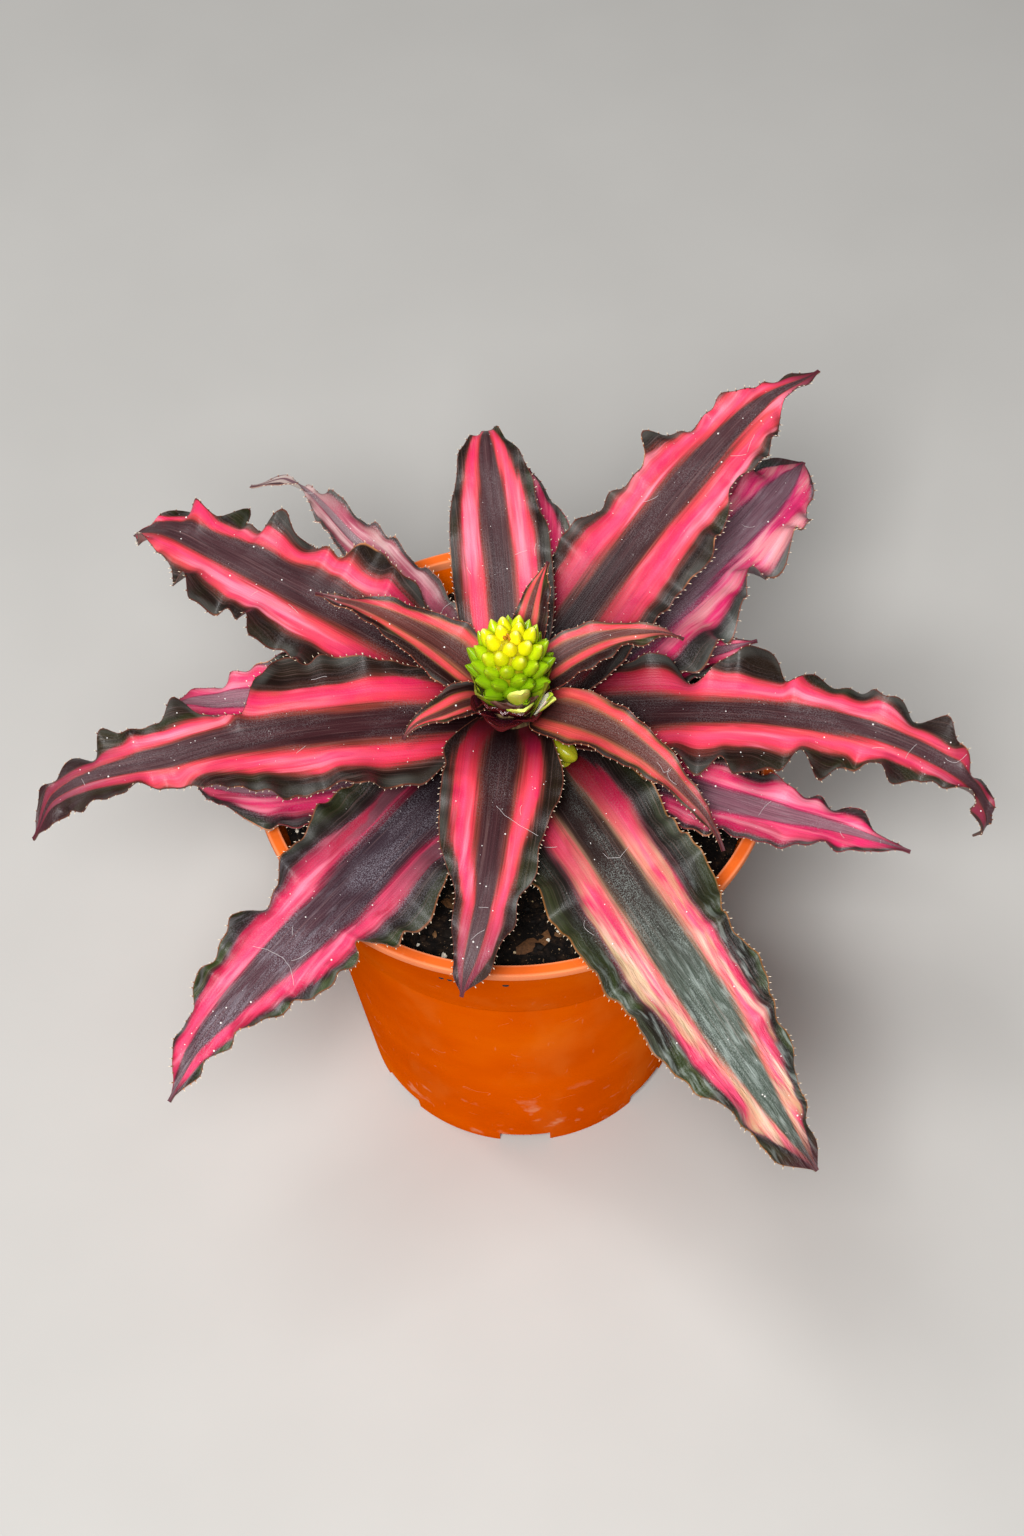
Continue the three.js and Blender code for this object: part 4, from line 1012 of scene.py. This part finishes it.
def leaf_mesh(leaf):
    """A closed slab in the leaf's own coordinates, bent on to its blade, with a spine every few mm."""
    draw = random.Random(leaf.number)
    rows = round(leaf.length / BLADE.row_pitch)
    columns = BLADE.columns if leaf.width > 20 else BLADE.columns * 2 // 3
    mesh = bmesh.new()
    layers = [mesh.verts.layers.float_vector.new(name) for name in ("blade", "zone", "underside_wear_shade")]
    middle = walk_middle(leaf)
    stations = [station_at(leaf, middle, i / rows) for i in range(rows + 1)]
    tier = sum(leaf.number > last for last in BLADE.tiers)
    for vert in add_slab(mesh, columns, rows):
        here = stations[round((vert.co.y + 0.5) * rows)]
        v = mix(-2 * vert.co.x, math.sin(-vert.co.x * math.pi), 0.5)      # closer rows at the margins
        body = mix(BLADE.middle_thickness, BLADE.edge_thickness, abs(v) ** 3)
        thickness = mix(body, min(body, BLADE.tip_thickness), smooth(0.8, 1, here.s))
        face = vert.co.z + 0.5                                            # 0.5 above and -0.5 below
        side = 1 if v > 0 else -1
        vert[layers[0]] = (v * here.half[side] * MM, here.s * leaf.length * MM, leaf.number)
        banded = v * here.half[side] / max(half_width(leaf, here.s), BLADE.tip_width / 2)
        vert[layers[1]] = (band_place(leaf, here.s, banded), here.s, abs(v))
        vert.co = blade_point(leaf, here, v, lift=face * thickness)
        # painted shade of the leaves above, darkest near the stem
        painted_leaf_shade = 1 - smooth(*BLADE.shelter[tier], vert.co.xy.length)
        vert[layers[2]] = (0.5 - face, smooth(leaf.worn, 1, here.s), painted_leaf_shade)
    for side in (1, -1):
        s = BLADE.spines[0] + 0.01 * draw.random()
        while s < BLADE.spines[1]:
            grown = BLADE.spine_length * draw.uniform(0.7, 1.25) * min(0.55 + leaf.length / 160, 1.15)
            add_spine(mesh, layers, leaf, middle, s, side, grown, draw)
            s += BLADE.spine_pitch * draw.uniform(0.75, 1.3) / leaf.length
    return mesh


# ---------------------------------------------------------------- flower head and small scales


def square_to(direction, turn):
    """The way across a bud that grows in this direction, `turn` round the head."""
    side = Vector((-math.sin(turn), math.cos(turn), 0))
    return (side - direction * side.dot(direction)).normalized()


def add_bud(mesh, layer, foot, direction, turn, radius, length, outer, dried=0):
    """A plump bud that stands on its foot. Low on the head it is a little flatter and more pointed."""
    flat = mix(1, 0.75, smooth(0.3, 0.75, outer))
    point = mix(0.55, 1, smooth(0.3, 0.6, outer))
    side = square_to(direction, turn)
    front = direction.cross(side)
    made = bmesh.ops.create_uvsphere(mesh, u_segments=16, v_segments=12, radius=1)
    for vert in made["verts"]:
        t = min(max((vert.co.z + 1) / 2, 0), 1)
        ring = vert.co.xy.normalized() if 1e-5 < t < 1 - 1e-5 else Vector((0, 0))
        width = radius * math.sin(math.pi * t ** mix(0.78, 0.7, outer)) ** point
        vert[layer] = (t, outer, dried)
        vert.co = foot + direction * (length * t) + (side * ring.x + front * ring.y * flat) * width


def add_bud_bract(mesh, layer, foot, direction, turn, width, length, outer):
    """The pointed, keeled bract that a bud sits in."""
    side = square_to(direction, turn)
    front = side.cross(direction)
    for vert in add_slab(mesh, 8, 10):
        t, v, face = vert.co.y + 0.5, 2 * vert.co.x, vert.co.z
        share = (1 - t ** 3) * mix(0.6, 1, smooth(0, 0.4, t)) + 0.02
        keel = 0.6 * width * (1 - v * v) * share
        vert[layer] = (mix(0.3, 0.8, t), outer, 0)
        vert.co = (foot + direction * (length * t) + side * (v * share * width)
                   + front * (keel + face * 0.35 + 0.04 * length * t * t))


def flower_head_mesh():
    """Buds in a spiral over their core, each a little plumper than its solid."""
    draw = seeded_random(HEAD.seed)
    mesh = bmesh.new()
    layer = mesh.verts.layers.float_vector.new("bud")
    core = bmesh.ops.create_uvsphere(mesh, u_segments=24, v_segments=16, radius=1)
    for vert in core["verts"]:
        z = vert.co.z * HEAD.core_half_height
        vert.co = Vector((vert.co.x * HEAD.core_radius, vert.co.y * HEAD.core_radius,
                          max(z + HEAD.middle, HEAD.foot)))
        vert[layer] = (0.3, 0.4, 0.4)
    for i in range(HEAD.buds):
        down = (1 - math.cos(math.radians(HEAD.spread))) * (i + 0.5) / HEAD.buds
        polar = math.acos(1 - down)
        turn = i * GOLDEN_TURN + (draw() - 0.5) * HEAD.stray
        outward = around(math.sin(polar), math.degrees(turn), math.cos(polar))
        surface = outward * Vector((HEAD.core_radius, HEAD.core_radius, HEAD.core_half_height))
        direction = (outward + UP * HEAD.lean * math.sin(polar)).normalized()
        outer = polar / math.radians(HEAD.spread)
        vary = mix(0.95, 1.05, draw())
        radius = HEAD.bud_radius * vary * mix(*HEAD.girths, outer)
        length = HEAD.bud_length * vary * mix(*HEAD.lengths, outer)
        foot = surface - direction * HEAD.sunk + UP * HEAD.middle
        plump = radius * mix(1.05, 1.1, outer)
        add_bud(mesh, layer, foot, direction, turn, plump, length * mix(1.1, 0.95, outer), outer)
        if outer > HEAD.bracts_from:
            upright = (direction + UP * 0.2).normalized()
            behind = foot + (outward * 0.1 - UP * 0.6) * plump
            add_bud_bract(mesh, layer, behind, upright, turn, plump * 1.12, length * 1.08, outer)
    for i in range(HEAD.dried_buds):
        turn = i * GOLDEN_TURN
        foot = around(0.35 * math.sqrt(i), math.degrees(turn), HEAD.middle + HEAD.core_half_height)
        lean = (UP + around(0.12 * i, math.degrees(turn), 0)).normalized()
        add_bud(mesh, layer, foot, lean, turn, 0.42, 1.5, 0, dried=1)
    return mesh


def scale_mesh(kind):
    """The small cupped scales of a kind."""
    mesh = bmesh.new()
    zone = mesh.verts.layers.float_vector.new("zone")
    for number, row in enumerate(kind.rows):
        scale = Values(**dict(zip(SCALE_FACTS, row)))
        heading = getattr(scale, "heading", scale.azimuth)
        start = around(scale.radius, scale.azimuth, scale.foot)
        along = pointing(heading, scale.slope)
        across = around(1, heading + 90, 0)
        up = along.cross(across)
        for vert in add_slab(mesh, 12, 18):
            s, v, face = vert.co.y + 0.5, -2 * vert.co.x, vert.co.z + 0.5
            share = math.sin(math.pi * (0.17 + 0.8 * s)) ** scale.blunt
            edge = 1 - abs(v) ** 4 * 0.6
            dent = kind.crumple * noise.noise(Vector((v, s * 3, number * 5)) * 2)
            vert[zone] = (abs(v), s, 0.5 - face)
            vert.co = (start + along * (scale.length * s) + across * (v * share * scale.width / 2)
                       + up * (scale.cup * abs(v) ** 1.6 * share + face * scale.thick * edge + dent))
    return mesh


def pup_mesh():
    """A side shoot's bud, of a few keeled scales pressed together, on its stalk."""
    direction = pointing(PUP.azimuth, PUP.slope)
    mesh = turned([
        (0, 0),
        (PUP.stalk_radius, 0),
        (PUP.stalk_radius, PUP.stalk),
        *[(PUP.bud_radius * math.sin(math.pi * (0.14 + 0.86 * t)) ** 0.6, mix(PUP.stalk, PUP.length, t))
          for t in (0.03, 0.1, 0.2, 0.3, 0.42, 0.55, 0.68, 0.8, 0.9, 0.96)],
        (0, PUP.length),
    ], 36)
    zone = mesh.verts.layers.float_vector.new("zone")
    for vert in mesh.verts:
        s = vert.co.z / PUP.length
        turn = math.atan2(vert.co.y, vert.co.x)
        keel = 1 + 0.1 * math.cos(3 * turn) * smooth(0.35, 0.6, s)
        vert[zone] = (0, s, 0)
        vert.co.x *= keel
        vert.co.y *= keel
    second = bmesh.ops.duplicate(mesh, geom=mesh.verts[:] + mesh.edges[:] + mesh.faces[:])["geom"]
    second = [part for part in second if isinstance(part, bmesh.types.BMVert)]
    bmesh.ops.scale(mesh, vec=(1.5, 0.8, 1), verts=second)
    bmesh.ops.rotate(mesh, verts=second, matrix=Matrix.Rotation(math.radians(PUP.spread), 3, "X"))
    bmesh.ops.rotate(mesh, verts=mesh.verts, matrix=direction.to_track_quat("Z", "Y").to_matrix())
    bmesh.ops.translate(mesh, verts=mesh.verts, vec=around(PUP.radius, PUP.azimuth, PUP.foot))
    return mesh


# ---------------------------------------------------------------- dust and lint

LINT = Values(
    radius=0.04,
    lift=BLADE.middle_thickness / 2 + 0.12,      # of a fibre over the middle of the blade
    step=0.7,
    each=3,                                      # short fibres on a leaf
)


def lint_paths():
    """Short curled fibres that lie on the leaves, each a walk over the blade."""
    draw = random.Random(5)
    for leaf in LEAVES:
        if leaf.length < 50:
            continue
        middle = walk_middle(leaf)
        for _ in range(LINT.each):
            s, v = draw.uniform(0.2, 0.85), draw.uniform(-0.75, 0.75)
            heading, bend = draw.uniform(0, TAU), draw.uniform(-0.25, 0.25)
            path = []
            for _ in range(draw.choice((4, 4, 5, 6, 8))):
                here = station_at(leaf, middle, s)
                half = here.half[1 if v > 0 else -1]
                if not 0.05 < s < 0.95 or abs(v) > 0.92:
                    break
                path.append(blade_point(leaf, here, v, lift=LINT.lift))
                heading += bend + draw.uniform(-0.15, 0.15)
                s += LINT.step * math.cos(heading) / leaf.length
                v += LINT.step * math.sin(heading) / half
            if len(path) > 3:
                yield path


# Longer fibres: the leaf, and the (share of its length, place across it) that each one passes
LONG_FIBRES = (
    (14, ((0.675, 0.65), (0.65, 0.3), (0.643, 0.1), (0.648, -0.2), (0.662, -0.5))),
    (7, ((0.435, 0.9), (0.405, 0.45), (0.37, 0.1), (0.33, -0.1))),
    (12, ((0.31, 0.32), (0.322, 0.15), (0.312, 0.02), (0.295, 0))),
)


def long_fibre_paths():
    for number, passed in LONG_FIBRES:
        leaf = LEAVES[number - 1]
        middle = walk_middle(leaf)
        path = []
        for before, after in zip(passed, passed[1:]):
            for i in range(6):
                s, v = [mix(a, b, i / 6) for a, b in zip(before, after)]
                path.append(blade_point(leaf, station_at(leaf, middle, s), v, lift=LINT.lift))
        yield path


def threads(name, paths, radius, material):
    """One piece of all the fibres, which ride with the plant."""
    curve = bpy.data.curves.new(name, "CURVE")
    curve.dimensions = "3D"
    curve.bevel_depth = radius * MM
    curve.bevel_resolution = 1
    curve.use_fill_caps = True
    for path in paths:
        spline = curve.splines.new("POLY")
        spline.points.add(len(path) - 1)
        for point, place in zip(spline.points, path):
            point.co = (*(place * MM), 1)
    holder = placed(name + " curve", curve)
    data = bpy.data.meshes.new_from_object(holder)
    bpy.data.objects.remove(holder)
    data.materials.append(material)
    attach(placed(name, data), "root")


def grit_mesh():
    """White grains of dust and lime that have dried on the leaves."""
    draw = random.Random(3)
    mesh = bmesh.new()
    for leaf in LEAVES:
        middle = walk_middle(leaf)
        for _ in range(round(leaf.length * leaf.width / 75)):
            here = station_at(leaf, middle, draw.uniform(0.1, 0.92))
            size = mix(0.07, 0.27, draw.random() ** 4)
            place = blade_point(leaf, here, draw.uniform(-0.8, 0.8), lift=BLADE.middle_thickness / 2)
            bmesh.ops.create_icosphere(mesh, subdivisions=1, radius=size, matrix=Matrix.Translation(place))
    return mesh


SPECKS = ((-109, 106, 0.5), (-107, 106, 0.5), (-94, 107, 0.6))       # azimuth, height and size


def pot_speck_mesh():
    """Specks of dirt on the front of the collar."""
    mesh = bmesh.new()
    for azimuth, z, size in SPECKS:
        drop = (LIP_FOOT - z) / (LIP_FOOT - COLLAR_FOOT)
        radius = mix(POT.collar_top_radius, POT.collar_foot_radius, drop)
        place = around(radius, azimuth, z)
        turn = Matrix.Rotation(math.radians(azimuth), 4, "Z")
        bmesh.ops.create_icosphere(mesh, subdivisions=2, radius=size, matrix=Matrix.Translation(place)
                                   @ turn @ Matrix.Diagonal((0.35, 1.3, 0.8, 1)))
    return mesh


# ---------------------------------------------------------------- the plant

make_pot(moulded_polypropylene())
finished("compost", soil_mesh(), damp_peat(), ["soil"])
finished("compost_bits", compost_mesh(), compost_bits(), crease=30)
finished("scarred_stem", stem_mesh(), woody_stem(), ["stem"])

coats = {name: leaf_blade(f"leaf blade, {name} coat", coat) for name, coat in vars(COATS).items()}
for leaf in LEAVES:
    finished(f"striped_leaf_{leaf.number:02d}", leaf_mesh(leaf), coats[leaf.coat],
             [f"leaf_{leaf.number:02d}"], crease=60)

finished("bud_cluster", flower_head_mesh(), fleshy_bud(), ["flower_head"], crease=80)
for kind in SCALES:
    finished(kind.piece, scale_mesh(kind), thin_tissue(*kind.tissue), kind.stands_for)
finished("side_shoot", pup_mesh(), thin_tissue(
    "side shoot", [(0, "#3E4208"), (0.5, "#6E700C"), (1, "#94921A")], 0.25, 0.3), ["pup_bud"])

finished("dried_grit", grit_mesh(), plain_matt("dried lime", "#E8E4E0"))
threads("lint", [*lint_paths(), *long_fibre_paths()], LINT.radius, plain_matt("lint fibre", "#C8C0C0"))
finished("dirt_specks", pot_speck_mesh(), plain_matt("dirt", "#140C0A"))

# ---------------------------------------------------------------- stage, light and camera

PLANT_MIDDLE = Vector((0, 0, 0.11))      # what the lights face, in metres


def make_floor():
    mesh = bmesh.new()
    bmesh.ops.create_grid(mesh, x_segments=1, y_segments=1, size=4)
    data = mesh_data("floor", mesh)
    material, tree, place = new_material("painted board")
    cloud = grain(tree, place, (60, 60, 60), seed=1)
    colour = add(tree, "ShaderNodeValToRGB", {"Fac": cloud}, stops=[(0.3, "#B8B6B2"), (0.7, "#BCBAB6")])
    data.materials.append(shaded(material, {"Base Color": colour, "Roughness": 0.85}))
    floor = placed("floor", data)
    floor.location.z = -0.05 * MM


def add_light(name, azimuth, elevation, distance, size, watts):
    """A white soft box that faces the plant, placed round it in degrees and metres."""
    light = bpy.data.lights.new(name, "AREA")
    light.size = size
    light.energy = watts
    lamp = placed(name, light)
    way = pointing(azimuth, elevation)
    lamp.location = PLANT_MIDDLE + way * distance
    lamp.rotation_euler = way.to_track_quat("Z", "Y").to_euler()


# Lengths in millimetres and angles in degrees; the camera looks from the front.
CAMERA = Values(lens=80, sensor=36, elevation=56.1, distance=790.3, target=(-0.55, 0, 110), roll=-2.33)


def make_camera():
    down = math.radians(CAMERA.elevation)
    forward = Vector((0, math.cos(down), -math.sin(down)))
    upright = Matrix((Vector((1, 0, 0)), Vector((1, 0, 0)).cross(forward), -forward)).transposed()
    lens = bpy.data.cameras.new("camera")
    lens.lens = CAMERA.lens
    lens.sensor_fit = "VERTICAL"
    lens.sensor_height = CAMERA.sensor
    camera = placed("camera", lens)
    roll = Matrix.Rotation(math.radians(CAMERA.roll), 3, "Z")
    place = (Vector(CAMERA.target) - forward * CAMERA.distance) * MM
    camera.matrix_world = Matrix.Translation(place) @ (upright @ roll).to_4x4()
    bpy.context.scene.camera = camera


make_floor()
make_camera()
add_light("key", azimuth=-100, elevation=55, distance=1.1, size=0.3, watts=15)
add_light("top", azimuth=-150, elevation=76, distance=1.1, size=0.35, watts=5)
add_light("rim", azimuth=150, elevation=30, distance=1.2, size=0.25, watts=3)
world = bpy.data.worlds.new("studio")
world.use_nodes = True
plug(world.node_tree, world.node_tree.nodes["Background"], {"Color": "#E8EAEE", "Strength": 0.02})
bpy.context.scene.world = world
bpy.context.scene.view_settings.view_transform = "Standard"
bpy.context.scene.view_settings.look = "None"
